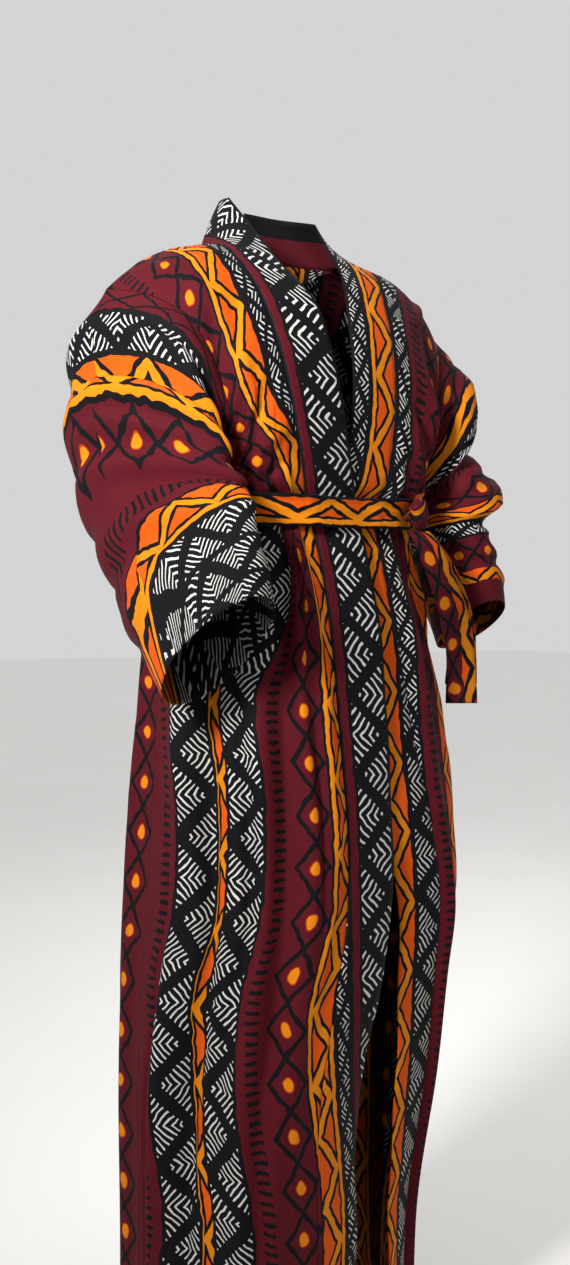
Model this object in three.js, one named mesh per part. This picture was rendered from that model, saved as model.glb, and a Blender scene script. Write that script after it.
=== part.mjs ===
import * as THREE from "three";

// All sizes are millimetres. Up is +Z, the front faces -Y, the wearer's right is -X.
// The origin is the middle of the shoulder line, where the robe hangs on the wearer.

const WALL = 2;
const SEAM_PULL = 0.3;
const RIGHT = -1;
const LEFT = 1;

// Steps of the panel grids: rows in each band between two stations, columns across a piece.
const TOP_STATIONS = 5;
const TOP_STEPS = 3;
const SKIRT_STEPS = 2;
const FRONT_COLUMNS = 12;
const NECK_COLUMNS = 4;
const BAND_COLUMNS = 3;
const SLEEVE_STEPS = 2;

// Armhole seams from the shoulder seam to the underarm, over the front and over the back.
// x counts outwards from the middle of the body.
const ARMHOLE_LAST = 7;
const RIGHT_ARMHOLE = {
  front: [
    [258, 8, -100], [238, -50, -114], [208, -90, -141], [183, -106, -180],
    [168, -113, -225], [156, -111, -270], [160, -69, -303], [165, -6, -326],
  ],
  back: [
    [258, 8, -100], [246, 58, -122], [233, 90, -158], [220, 102, -205],
    [204, 100, -250], [186, 76, -292], [172, 35, -318], [165, -6, -326],
  ],
};
const LEFT_ARMHOLE = {
  front: [
    [250, 8, -98], [214, -50, -114], [191, -86, -145], [176, -104, -185],
    [165, -113, -228], [156, -112, -272], [157, -75, -309], [165, -6, -326],
  ],
  back: [
    [250, 8, -98], [240, 58, -122], [228, 90, -158], [216, 102, -205],
    [202, 100, -250], [185, 76, -292], [172, 35, -318], [165, -6, -326],
  ],
};

// Middle of the back neck: on the neck seam, and on the free edge of the standing collar.
const NAPE = [0, 90, -7];
const COLLAR_NAPE = [0, 100, 60];

// The shape of the shoulder seam fades out of the back panel over this many stations.
const SHOULDER_FADE = 2;

// Places inside the robe, from which each cloth knows its outer face.
const CHEST_Z = -210;
const COLLAR_DROP = 10;

// Stations of the right front. seam is the neckband seam and edge the free edge of the band,
// both x outwards; arm is the place on the armhole, counted in its points.
const RIGHT_FRONT = [
  { name: "shoulder", seam: [105, 30, -20], edge: [75, 20, 48], arm: 0, swell: [0, 0, 18] },
  { name: "collarbone", seam: [126, -52, -42], edge: [75, -95, -58], arm: 1.3, swell: [0, -10, 14] },
  { name: "high_chest", seam: [122, -112, -100], edge: [54, -142, -118], arm: 2.7, swell: [0, -8, 6] },
  { name: "chest", seam: [110, -138, -165], edge: [38, -154, -175], arm: 4, swell: [0, -8, 0] },
  { name: "bust", seam: [96, -148, -235], edge: [22, -154, -240], arm: 5.3, swell: [2, -8, -4] },
  { name: "underarm", seam: [73, -141, -322], edge: [-3, -144, -322], arm: 7, swell: [8, -8, -10] },
  { name: "waist", seam: [62, -133, -362], edge: [-13, -136, -362] },
  { name: "high_hip", seam: [52, -147, -430], edge: [-23, -149, -430] },
  { name: "hip", seam: [44, -158, -520], edge: [-31, -160, -520] },
  { name: "low_hip", seam: [36, -165, -640], edge: [-39, -165, -640] },
  { name: "thigh", seam: [28, -170, -760], edge: [-47, -166, -760] },
  { name: "knee", seam: [32, -174, -860], edge: [-43, -166, -860] },
  { name: "low_knee", seam: [51, -176, -960], edge: [-24, -164, -960] },
  { name: "calf", seam: [73, -175, -1090], edge: [0, -158, -1090] },
  { name: "shin", seam: [74, -173, -1270], edge: [2, -152, -1270] },
  { name: "hem", seam: [72, -172, -1460], edge: [0, -150, -1460] },
];

// Stations of the left front, which passes under the right one below the chest.
const LEFT_FRONT = [
  { name: "shoulder", seam: [100, 30, -20], edge: [60, 20, 34], arm: 0, swell: [0, 0, 18] },
  { name: "collarbone", seam: [100, -56, -40], edge: [32, -70, -45], arm: 1.3, swell: [0, -10, 12] },
  { name: "high_chest", seam: [80, -112, -100], edge: [9, -122, -108], arm: 2.7, swell: [0, -8, 4] },
  { name: "chest", seam: [74, -136, -165], edge: [0, -142, -170], arm: 4, swell: [0, -6, 0] },
  { name: "bust", seam: [72, -142, -235], edge: [-3, -146, -240], arm: 5.3, swell: [2, -6, -4] },
  { name: "underarm", seam: [66, -134, -322], edge: [-8, -133, -322], arm: 7, swell: [8, -8, -10] },
  { name: "waist", seam: [50, -124, -362], edge: [-25, -123, -362] },
  { name: "high_hip", seam: [55, -137, -430], edge: [-20, -136, -430] },
  { name: "hip", seam: [69, -147, -520], edge: [-6, -147, -520] },
  { name: "low_hip", seam: [89, -153, -640], edge: [14, -153, -640] },
  { name: "thigh", seam: [118, -156, -760], edge: [46, -154, -760] },
  { name: "knee", seam: [138, -149, -860], edge: [68, -152, -860] },
  { name: "low_knee", seam: [139, -137, -960], edge: [69, -149, -960] },
  { name: "calf", seam: [138, -120, -1090], edge: [70, -140, -1090] },
  { name: "shin", seam: [132, -90, -1270], edge: [76, -124, -1270] },
  { name: "hem", seam: [129, -86, -1460], edge: [74, -120, -1460] },
];

// Side seams and the middle of the back at the same stations; right and left count outwards.
const SIDES = [
  { name: "shoulder", back_y: 92, back_z: -8, swell: [0, 0, 18] },
  { name: "collarbone", back_y: 104, back_z: -62, swell: [0, 8, 14] },
  { name: "high_chest", back_y: 112, back_z: -118, swell: [0, 12, 6] },
  { name: "chest", back_y: 118, back_z: -176, swell: [0, 14, 0] },
  { name: "bust", back_y: 124, back_z: -238, swell: [4, 14, -4] },
  { name: "underarm", back_y: 127, back_z: -322, swell: [10, 10, -10] },
  { name: "waist", right: 155, left: 155, y: 0, z: -362, back_y: 120, back_z: -362 },
  { name: "high_hip", right: 168, left: 170, y: 2, z: -430, back_y: 134, back_z: -430 },
  { name: "hip", right: 182, left: 188, y: 4, z: -520, back_y: 145, back_z: -520 },
  { name: "low_hip", right: 192, left: 205, y: 4, z: -640, back_y: 150, back_z: -640 },
  { name: "thigh", right: 199, left: 214, y: 2, z: -760, back_y: 152, back_z: -760 },
  { name: "knee", right: 206, left: 221, y: 0, z: -860, back_y: 154, back_z: -860 },
  { name: "low_knee", right: 214, left: 197, y: 0, z: -960, back_y: 156, back_z: -960 },
  { name: "calf", right: 218, left: 184, y: 0, z: -1090, back_y: 154, back_z: -1090 },
  { name: "shin", right: 216, left: 165, y: 0, z: -1270, back_y: 152, back_z: -1270 },
  { name: "hem", right: 216, left: 160, y: 0, z: -1460, back_y: 152, back_z: -1460 },
];

// Folds of the hanging cloth. at and width are shares of the way across the panel, depth is
// outwards (a trough is negative), top and bottom are heights, drift moves the fold across.
const RIGHT_FRONT_FOLDS = [
  { at: 0.12, width: 0.07, depth: 13, top: -400, bottom: -1500, drift: 0.1 },
  { at: 0.27, width: 0.06, depth: -10, top: -372, bottom: -1500, drift: 0.06 },
  { at: 0.42, width: 0.09, depth: 15, top: -560, bottom: -1500, drift: -0.04 },
  { at: 0.63, width: 0.07, depth: -11, top: -470, bottom: -1500, drift: 0.02 },
  { at: 0.8, width: 0.08, depth: 12, top: -420, bottom: -1500, drift: 0.02 },
  { at: 0.3, width: 0.07, depth: 6, top: -230, bottom: -345, drift: -0.06 },
  { at: 0.62, width: 0.08, depth: 8, top: -180, bottom: -350, drift: -0.1 },
];
const LEFT_FRONT_FOLDS = [
  { at: 0.15, width: 0.08, depth: 10, top: -420, bottom: -1500, drift: 0 },
  { at: 0.36, width: 0.08, depth: -10, top: -400, bottom: -1500, drift: 0.04 },
  { at: 0.6, width: 0.09, depth: 13, top: -500, bottom: -1500, drift: 0.02 },
  { at: 0.82, width: 0.07, depth: -9, top: -430, bottom: -1500, drift: 0 },
  { at: 0.3, width: 0.07, depth: 6, top: -230, bottom: -345, drift: -0.06 },
  { at: 0.64, width: 0.08, depth: 8, top: -180, bottom: -350, drift: -0.1 },
];
const BACK_FOLDS = [
  { at: -0.82, width: 0.07, depth: 12, top: -420, bottom: -1500, drift: 0 },
  { at: -0.64, width: 0.06, depth: -10, top: -380, bottom: -1500, drift: 0 },
  { at: -0.46, width: 0.07, depth: 14, top: -520, bottom: -1500, drift: -0.02 },
  { at: -0.24, width: 0.07, depth: -11, top: -372, bottom: -1500, drift: -0.02 },
  { at: -0.04, width: 0.08, depth: 12, top: -450, bottom: -1500, drift: 0.03 },
  { at: 0.18, width: 0.07, depth: -10, top: -372, bottom: -1500, drift: 0.02 },
  { at: 0.38, width: 0.08, depth: 14, top: -560, bottom: -1500, drift: 0.02 },
  { at: 0.6, width: 0.07, depth: -11, top: -400, bottom: -1500, drift: 0.01 },
  { at: 0.8, width: 0.07, depth: 10, top: -450, bottom: -1500, drift: 0 },
  { at: -0.3, width: 0.1, depth: 7, top: -160, bottom: -350, drift: 0.08 },
  { at: 0.3, width: 0.1, depth: 7, top: -160, bottom: -350, drift: -0.08 },
];
const FOLD_RUN_IN = 110;

// Rings of the sleeves from the armhole to the cuff, each through its outermost point, its
// innermost point, its front or top point and its back or lowest point.
const RIGHT_SLEEVE = [
  {
    name: "shoulder_cap",
    outer: [272, 14, -142], inner: [176, -6, -334], front: [196, -122, -212], back: [248, 98, -228],
  },
  {
    name: "upper_arm",
    outer: [270, 16, -195], inner: [180, -8, -343], front: [192, -136, -262], back: [240, 92, -288],
  },
  {
    name: "mid_arm",
    outer: [271, 14, -252], inner: [181, -12, -352], front: [186, -150, -304], back: [240, 90, -340],
  },
  {
    name: "elbow",
    outer: [267, 10, -318], inner: [180, -24, -366], front: [181, -166, -338], back: [236, 74, -390],
  },
  {
    name: "below_elbow",
    outer: [258, -22, -385], inner: [178, -50, -394], front: [180, -182, -362], back: [224, 26, -446],
  },
  {
    name: "forearm",
    outer: [256, -66, -436], inner: [172, -84, -440], front: [184, -205, -398], back: [226, -8, -498],
  },
  {
    name: "low_forearm",
    outer: [257, -118, -486], inner: [166, -124, -488], front: [188, -222, -438], back: [226, -54, -548],
  },
  {
    name: "cuff",
    outer: [256, -162, -534], inner: [162, -168, -536], front: [190, -228, -474], back: [226, -104, -598],
  },
];
const LEFT_SLEEVE = [
  {
    name: "shoulder_cap",
    outer: [272, 10, -140], inner: [177, -6, -334], front: [195, -115, -205], back: [245, 98, -226],
  },
  {
    name: "upper_arm",
    outer: [293, 8, -195], inner: [184, -8, -343], front: [215, -130, -255], back: [252, 100, -285],
  },
  {
    name: "mid_arm",
    outer: [282, 8, -254], inner: [186, -12, -354], front: [205, -125, -298], back: [250, 96, -335],
  },
  {
    name: "elbow",
    outer: [312, -8, -322], inner: [190, -26, -368], front: [236, -140, -345], back: [252, 80, -384],
  },
  {
    name: "below_elbow",
    outer: [286, -28, -380], inner: [196, -44, -396], front: [226, -132, -376], back: [246, 42, -420],
  },
  {
    name: "forearm",
    outer: [302, -46, -430], inner: [202, -58, -434], front: [238, -134, -410], back: [248, 22, -462],
  },
  {
    name: "low_forearm",
    outer: [303, -66, -474], inner: [208, -76, -476], front: [248, -136, -450], back: [252, -10, -500],
  },
  {
    name: "cuff",
    outer: [299, -78, -506], inner: [212, -86, -506], front: [254, -134, -474], back: [252, -30, -540],
  },
];

// Creases that run round a sleeve: along counts rings, around is the angle in half turns.
const RIGHT_SLEEVE_FOLDS = [
  { along: 1.6, around: 0.75, length: 0.5, breadth: 0.5, depth: -9 },
  { along: 2.6, around: 0.1, length: 0.6, breadth: 0.6, depth: 9 },
  { along: 3.4, around: 0.6, length: 0.4, breadth: 0.45, depth: -10 },
  { along: 4.2, around: 0.15, length: 0.4, breadth: 0.5, depth: -8 },
  { along: 5.0, around: -0.3, length: 0.5, breadth: 0.5, depth: 9 },
  { along: 5.9, around: 0.3, length: 0.4, breadth: 0.5, depth: -7 },
  { along: 6.6, around: -0.2, length: 0.5, breadth: 0.5, depth: 7 },
];
const LEFT_SLEEVE_FOLDS = [
  { along: 2.9, around: 0.4, length: 0.45, breadth: 0.7, depth: -9 },
  { along: 3.9, around: 0.35, length: 0.6, breadth: 0.7, depth: 9 },
  { along: 4.8, around: 0.35, length: 0.4, breadth: 0.7, depth: -8 },
  { along: 5.9, around: -0.3, length: 0.5, breadth: 0.6, depth: 7 },
];

// Sash: its height, how far it stands off the robe, its knot and its two hanging ends.
const BELT_HEIGHT = 38;
const BELT_MIDDLE_Z = -360;
const BELT_SAG = 9;
const BELT_SAG_TURN = -0.6 * Math.PI;
const BELT_GAP = 3.6;
const BELT_COLUMNS = 48;
const BELT_ROWS = [0.5, 0.17, -0.17, -0.5];
const BELT_BRIDGE_COLUMNS = 1.4;
const KNOT_BELT_COLUMN = 17;
const KNOT_SEAT_GAP = 0.45;
const KNOT_HALF = [21, 12, 22];
const KNOT_COLUMNS = 16;
const KNOT_ROWS = 10;
// Groove round the knot: its share of the size, where it runs, its slant and its breadth.
const KNOT_GROOVE = { depth: 0.16, polar: 1.3, slant: 0.3, breadth: 0.05 };
// The hanging ends, measured from the foot of the knot.
const FRONT_TAIL = [
  { middle: [-2, -1.7, 0], across: [13, -5, 0], bow: 0 },
  { middle: [4, -10, -16], across: [14, -5, 2], bow: 3 },
  { middle: [20, -14, -50], across: [15, -6, 6], bow: 4 },
  { middle: [46, -8, -94], across: [15, -8, 8], bow: 4 },
  { middle: [68, 0, -137], across: [16, -9, 6], bow: -3 },
  { middle: [78, 7, -180], across: [17, -10, 2], bow: -4 },
  { middle: [80, 9, -222], across: [18, -10, 0], bow: 3 },
];
const BACK_TAIL = [
  { middle: [2, 1.7, 0], across: [13, -5, 0], bow: 0 },
  { middle: [12, -2, -15], across: [13, -6, 2], bow: -3 },
  { middle: [36, -4, -48], across: [14, -8, 4], bow: 3 },
  { middle: [62, 4, -88], across: [15, -10, 4], bow: 4 },
  { middle: [88, 18, -126], across: [15, -11, 3], bow: -3 },
  { middle: [100, 30, -163], across: [16, -12, 0], bow: 3 },
  { middle: [102, 34, -198], across: [17, -12, 0], bow: 3 },
];
const TAIL_STEPS = 3;
const TAIL_COLUMNS = 4;

// Seam points are matched on a grid of hundredths of a millimetre, set off from round values.
const PLACE_GRID = 100;
const PLACE_OFFSET = 0.217;
// Direction that decides how the quads of a cut edge are split.
const SLANT = [0.11, 0.37, 1];

const COLOURS = {
  maroon: { color: 0x6e2032, roughness: 0.82, metalness: 0 },
  black: { color: 0x26232b, roughness: 0.8, metalness: 0 },
  orange: { color: 0xf07a12, roughness: 0.8, metalness: 0 },
};

function add(a, b, share = 1) {
  return a.map((value, axis) => value + b[axis] * share);
}

function mix(a, b, share) {
  return a.map((value, axis) => value + (b[axis] - value) * share);
}

function cross(a, b) {
  return [a[1] * b[2] - a[2] * b[1], a[2] * b[0] - a[0] * b[2], a[0] * b[1] - a[1] * b[0]];
}

function unit(a) {
  const length = Math.hypot(...a) || 1;
  return a.map((value) => value / length);
}

function mirrored(point, side) {
  return [point[0] * side, point[1], point[2]];
}

// Smooth curve through a list of points, at a position counted in points.
function along(points, position) {
  const last = points.length - 1;
  const start = Math.min(Math.floor(position), last - 1);
  const t = position - start;
  const before = points[Math.max(start - 1, 0)];
  const from = points[start];
  const to = points[start + 1];
  const after = points[Math.min(start + 2, last)];
  return from.map((value, axis) => {
    const slopeIn = (to[axis] - before[axis]) / 2;
    const slopeOut = (after[axis] - value) / 2;
    const square = t * t;
    const cube = square * t;
    return value * (2 * cube - 3 * square + 1) + slopeIn * (cube - 2 * square + t)
      + to[axis] * (3 * square - 2 * cube) + slopeOut * (cube - square);
  });
}

// Row positions of the panels, in stations.
function rowPositions(stationCount) {
  const positions = [];
  for (let row = 0; row < TOP_STATIONS * TOP_STEPS; row += 1) {
    positions.push(row / TOP_STEPS);
  }
  const lower = (stationCount - 1 - TOP_STATIONS) * SKIRT_STEPS;
  for (let row = 0; row <= lower; row += 1) {
    positions.push(TOP_STATIONS + row / SKIRT_STEPS);
  }
  return positions;
}

function armPlace(stations, position) {
  const arms = stations.slice(0, TOP_STATIONS + 1).map((station) => [station.arm]);
  return Math.min(Math.max(along(arms, position)[0], 0), ARMHOLE_LAST);
}

// Outer edge of a panel: the armhole above the underarm, the side seam below it.
function outerPoint(position, stations, sideName, armhole) {
  if (position <= TOP_STATIONS) {
    return along(armhole, armPlace(stations, position));
  }
  const seam = [armhole[ARMHOLE_LAST]];
  for (const side of SIDES.slice(TOP_STATIONS + 1)) {
    seam.push([side[sideName], side.y, side.z]);
  }
  return along(seam, position - TOP_STATIONS);
}

// Point of a row between its inner and outer ends, bent like a quarter of an oval.
function rowPoint(inner, outer, swell, roundness, share) {
  const quarter = share * Math.PI / 2;
  const acrossShare = share + (Math.sin(quarter) - share) * roundness;
  const deepShare = share + (1 - Math.cos(quarter) - share) * roundness;
  const point = [
    inner[0] + (outer[0] - inner[0]) * acrossShare,
    inner[1] + (outer[1] - inner[1]) * deepShare,
    inner[2] + (outer[2] - inner[2]) * share,
  ];
  return add(point, swell, 4 * share * (1 - share));
}

function foldDepth(folds, share, z, hemShare) {
  let depth = 0;
  for (const fold of folds) {
    if (z > fold.top || z < fold.bottom) {
      continue;
    }
    const middle = fold.at + fold.drift * hemShare;
    const off = (share - middle) / fold.width;
    const runIn = Math.min((fold.top - z) / FOLD_RUN_IN, (z - fold.bottom) / FOLD_RUN_IN, 1);
    depth += fold.depth * Math.exp(-off * off) * runIn;
  }
  return depth;
}

function swellAt(stations, position) {
  const swells = stations.slice(0, TOP_STATIONS + 1).map((station) => station.swell);
  swells.push([0, 0, 0]);
  swells.push([0, 0, 0]);
  return position >= TOP_STATIONS + 2 ? [0, 0, 0] : along(swells, position);
}

function roundnessAt(position) {
  return Math.min(Math.max((position - 1) / (TOP_STATIONS - 1), 0), 1);
}

// Moves the inside of a grid out or in by the folds, leaving the seams where they are.
function foldGrid(grid, folds, shareOf) {
  const top = grid[0][0][2];
  const bottom = grid[grid.length - 1][0][2];
  return grid.map((row, rowIndex) => row.map((point, column) => {
    if (column === 0 || column === row.length - 1) {
      return point;
    }
    const before = grid[Math.max(rowIndex - 1, 0)][column];
    const after = grid[Math.min(rowIndex + 1, grid.length - 1)][column];
    const acrossRow = add(row[column + 1], row[column - 1], -1);
    const downRow = add(after, before, -1);
    let normal = unit(cross(acrossRow, downRow));
    const outwards = normal[0] * point[0] + normal[1] * point[1];
    normal = outwards < 0 ? normal.map((value) => -value) : normal;
    const hemShare = (top - point[2]) / (top - bottom);
    return add(point, normal, foldDepth(folds, shareOf(column), point[2], hemShare));
  }));
}

function frontPanel(stations, side, sideName, armhole, folds) {
  const seams = stations.map((station) => station.seam);
  const grid = rowPositions(stations.length).map((position) => {
    const inner = along(seams, position);
    const outer = outerPoint(position, stations, sideName, armhole.front);
    const swell = swellAt(stations, position);
    const row = [];
    for (let column = 0; column <= FRONT_COLUMNS; column += 1) {
      row.push(rowPoint(inner, outer, swell, roundnessAt(position), column / FRONT_COLUMNS));
    }
    return row;
  });
  const folded = foldGrid(grid, folds, (column) => column / FRONT_COLUMNS);
  return folded.map((row) => row.map((point) => mirrored(point, side)));
}

// Half of the back's top edge: the neck curve from the nape, then the shoulder seam.
function backTopEdge(shoulderRow) {
  const edge = [];
  for (let column = 0; column < NECK_COLUMNS; column += 1) {
    edge.push(neckCurve(shoulderRow[0], NAPE, column / NECK_COLUMNS));
  }
  return edge.concat(shoulderRow);
}

function neckCurve(sidePoint, napePoint, share) {
  const quarter = share * Math.PI / 2;
  return [
    sidePoint[0] * Math.sin(quarter),
    sidePoint[1] + (napePoint[1] - sidePoint[1]) * Math.cos(quarter),
    sidePoint[2] + (napePoint[2] - sidePoint[2]) * Math.cos(quarter),
  ];
}

// The shape of the shoulder row is carried down the back and fades out at the underarm.
function halfBack(sideName, stations, armhole, shoulderRow) {
  const edge = backTopEdge(shoulderRow);
  const columns = edge.length - 1;
  const middles = SIDES.map((station) => [0, station.back_y, station.back_z]);
  const swellRows = SIDES.slice(0, TOP_STATIONS + 1);
  const plainRow = (position) => {
    const inner = along(middles, position);
    const outer = outerPoint(position, stations, sideName, armhole.back);
    const swell = swellAt(swellRows, position);
    const row = [];
    for (let column = 0; column <= columns; column += 1) {
      row.push(rowPoint(inner, outer, swell, roundnessAt(position), column / columns));
    }
    return row;
  };
  const plainTop = plainRow(0);
  const shift = edge.map((point, column) => add(point, plainTop[column], -1));
  return rowPositions(SIDES.length).map((position) => {
    const fade = Math.max(1 - position / SHOULDER_FADE, 0) ** 2;
    return plainRow(position).map((point, column) => {
      return column === columns ? point : add(point, shift[column], fade);
    });
  });
}

function backPanel(rightShoulder, leftShoulder) {
  const right = halfBack("right", RIGHT_FRONT, RIGHT_ARMHOLE, rightShoulder);
  const left = halfBack("left", LEFT_FRONT, LEFT_ARMHOLE, leftShoulder);
  const grid = right.map((row, rowIndex) => {
    const rightHalf = row.slice(1).reverse().map((point) => mirrored(point, RIGHT));
    return rightHalf.concat(left[rowIndex]);
  });
  const half = (grid[0].length - 1) / 2;
  return foldGrid(grid, BACK_FOLDS, (column) => (column - half) / half);
}

// Band strip: from the hem up the front edge, then round the neck to the nape.
function neckband(stations, panel, side) {
  const edges = stations.map((station) => station.edge);
  const positions = rowPositions(stations.length);
  const grid = positions.map((position, row) => {
    return bandRow(panel[row][0], mirrored(along(edges, position), side));
  }).reverse();
  for (let column = NECK_COLUMNS - 1; column >= 0; column -= 1) {
    const share = column / NECK_COLUMNS;
    const seam = mirrored(neckCurve(stations[0].seam, NAPE, share), side);
    const edge = mirrored(neckCurve(stations[0].edge, COLLAR_NAPE, share), side);
    grid.push(bandRow(seam, edge));
  }
  return grid;
}

function bandRow(seam, edge) {
  const row = [];
  for (let column = 0; column <= BAND_COLUMNS; column += 1) {
    row.push(mix(seam, edge, column / BAND_COLUMNS));
  }
  return row;
}

// First ring of a sleeve: the armhole edges of the front and the back panel joined.
function armholeRing(front, back, backColumn) {
  const rows = TOP_STATIONS * TOP_STEPS;
  const ring = [];
  for (let row = 0; row <= rows; row += 1) {
    ring.push(front[row][front[row].length - 1]);
  }
  for (let row = rows - 1; row > 0; row -= 1) {
    ring.push(back[row][backColumn]);
  }
  return ring;
}

// Point of an oval ring; the middle of front and back may lie off that of outer and inner.
function ringPoint(ring, angle) {
  const middle = mix(ring.inner, ring.outer, 0.5);
  const otherMiddle = mix(ring.back, ring.front, 0.5);
  const sine = Math.sin(angle);
  const turned = add(middle, add(ring.outer, middle, -1), Math.cos(angle));
  const raised = add(turned, add(ring.front, otherMiddle, -1), sine);
  return add(raised, add(otherMiddle, middle, -1), sine * sine);
}

function sleeve(seamRing, rings, folds, stations, side) {
  const rows = TOP_STATIONS * TOP_STEPS;
  const angles = seamRing.map((point, index) => {
    const front = index <= rows;
    const row = front ? index : 2 * rows - index;
    const angle = armPlace(stations, row / TOP_STEPS) * Math.PI / ARMHOLE_LAST;
    return front ? angle : -angle;
  });
  const columns = angles.map((angle, place) => {
    const points = [mirrored(seamRing[place], side)];
    return points.concat(rings.map((ring) => ringPoint(ring, angle)));
  });
  const grid = [];
  for (let step = 0; step <= rings.length * SLEEVE_STEPS; step += 1) {
    const position = step / SLEEVE_STEPS;
    const row = columns.map((points) => along(points, position));
    const middle = row.reduce((sum, point) => add(sum, point, 1 / row.length), [0, 0, 0]);
    grid.push(row.map((point, index) => {
      const depth = step === 0 ? 0 : creaseDepth(folds, position, angles[index] / Math.PI);
      const moved = add(point, unit(add(point, middle, -1)), depth);
      return mirrored(moved, side);
    }));
  }
  return grid;
}

function creaseDepth(folds, position, halfTurns) {
  let depth = 0;
  for (const fold of folds) {
    const off = (position - fold.along) / fold.length;
    const turn = Math.abs(halfTurns - fold.around);
    const round = Math.min(turn, 2 - turn) / fold.breadth;
    depth += fold.depth * Math.exp(-off * off - round * round);
  }
  return depth;
}

function isLoop(piece) {
  return piece.loop === true;
}

function neighbours(piece, row, column) {
  const { grid } = piece;
  const width = grid[row].length;
  const wrap = (index) => (index + width) % width;
  const left = isLoop(piece) ? wrap(column - 1) : Math.max(column - 1, 0);
  const right = isLoop(piece) ? wrap(column + 1) : Math.min(column + 1, width - 1);
  const above = Math.max(row - 1, 0);
  const below = Math.min(row + 1, grid.length - 1);
  return [grid[row][left], grid[row][right], grid[above][column], grid[below][column]];
}

function plainNormal(piece, row, column) {
  const [left, right, above, below] = neighbours(piece, row, column);
  return unit(cross(add(right, left, -1), add(below, above, -1)));
}

// Two pieces share a seam point when their points agree to a hundredth of a millimetre.
function placeKey(point) {
  return point.map((value) => Math.round(value * PLACE_GRID + PLACE_OFFSET)).join("_");
}

// Every piece's normals, turned outwards, and averaged where pieces are sewn together.
function seamNormals(pieces) {
  const sums = new Map();
  for (const piece of pieces) {
    piece.normals = piece.grid.map((row, rowIndex) => {
      return row.map((point, column) => plainNormal(piece, rowIndex, column));
    });
    const facing = piece.grid.flatMap((row, rowIndex) => row.map((point, column) => {
      const off = add(point, piece.inside(point), -1);
      const normal = piece.normals[rowIndex][column];
      return off[0] * normal[0] + off[1] * normal[1] + off[2] * normal[2];
    }));
    piece.flipped = facing.reduce((sum, value) => sum + value, 0) < 0;
    const sign = piece.flipped ? -1 : 1;
    piece.grid.forEach((row, rowIndex) => row.forEach((point, column) => {
      const key = placeKey(point);
      const sum = sums.get(key) ?? { normal: [0, 0, 0], owners: new Set() };
      sum.normal = add(sum.normal, piece.normals[rowIndex][column], sign);
      sum.owners.add(piece.name);
      sums.set(key, sum);
    }));
  }
  return sums;
}

// Where another piece is sewn on, the edge is drawn back a little to leave the seam gap.
function pulledPoint(piece, sums, row, column) {
  const { grid } = piece;
  const point = grid[row][column];
  if (sums.get(placeKey(point)).owners.size < 2) {
    return point;
  }
  const lastRow = grid.length - 1;
  const lastColumn = grid[row].length - 1;
  let pulled = point;
  const pull = (towards) => {
    pulled = add(pulled, unit(add(towards, point, -1)), SEAM_PULL);
  };
  if (!isLoop(piece) && column === 0) {
    pull(grid[row][1]);
  }
  if (!isLoop(piece) && column === lastColumn) {
    pull(grid[row][lastColumn - 1]);
  }
  if (row === 0) {
    pull(grid[1][column]);
  }
  if (row === lastRow) {
    pull(grid[lastRow - 1][column]);
  }
  return pulled;
}

function clothSolid(piece, sums) {
  const { grid } = piece;
  const height = grid.length;
  const width = grid[0].length;
  const places = [];
  for (const side of [0.5, -0.5]) {
    grid.forEach((row, rowIndex) => row.forEach((point, column) => {
      const normal = unit(sums.get(placeKey(point)).normal);
      const base = pulledPoint(piece, sums, rowIndex, column);
      places.push(...add(base, normal, WALL * side));
    }));
  }
  const layer = width * height;
  const faces = [];
  const quad = (a, b, c, d) => {
    const order = piece.flipped ? [a, c, b, a, d, c] : [a, b, c, a, c, d];
    faces.push(...order);
  };
  const spans = isLoop(piece) ? width : width - 1;
  for (let row = 0; row < height - 1; row += 1) {
    for (let column = 0; column < spans; column += 1) {
      const next = (column + 1) % width;
      const a = row * width + column;
      const b = row * width + next;
      const c = (row + 1) * width + next;
      const d = (row + 1) * width + column;
      quad(a, b, c, d);
      quad(a + layer, d + layer, c + layer, b + layer);
    }
  }
  const flat = grid.flat();
  const rank = (index) => flat[index].reduce((sum, value, axis) => sum + value * SLANT[axis], 0);
  // Two sewn edges face each other, so both are split along the same slant.
  const rim = (from, to) => {
    if (rank(from) > rank(to)) {
      quad(from, from + layer, to + layer, to);
    } else {
      quad(to, from, from + layer, to + layer);
    }
  };
  for (let column = 0; column < spans; column += 1) {
    const next = (column + 1) % width;
    const low = (height - 1) * width;
    rim(column, next);
    rim(low + next, low + column);
  }
  if (!isLoop(piece)) {
    for (let row = 0; row < height - 1; row += 1) {
      rim((row + 1) * width, row * width);
      rim((row + 1) * width - 1, (row + 2) * width - 1);
    }
  }
  return meshFrom(places, faces);
}

function meshFrom(places, faces) {
  const geometry = new THREE.BufferGeometry();
  geometry.setAttribute("position", new THREE.Float32BufferAttribute(places, 3));
  geometry.setIndex(faces);
  geometry.computeVertexNormals();
  return geometry;
}

// Where the robe's surface is at one height, as angle and distance from the upright axis.
function outlineAt(bodyPieces, z) {
  const outline = [];
  for (const { grid } of bodyPieces) {
    for (let row = 0; row < grid.length - 1; row += 1) {
      grid[row].forEach((upper, column) => {
        const lower = grid[row + 1][column];
        const share = (upper[2] - z) / (upper[2] - lower[2]);
        if (share >= 0 && share < 1) {
          const point = mix(upper, lower, share);
          outline.push([Math.atan2(point[1], point[0]), Math.hypot(point[0], point[1])]);
        }
      });
    }
  }
  return outline;
}

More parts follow.
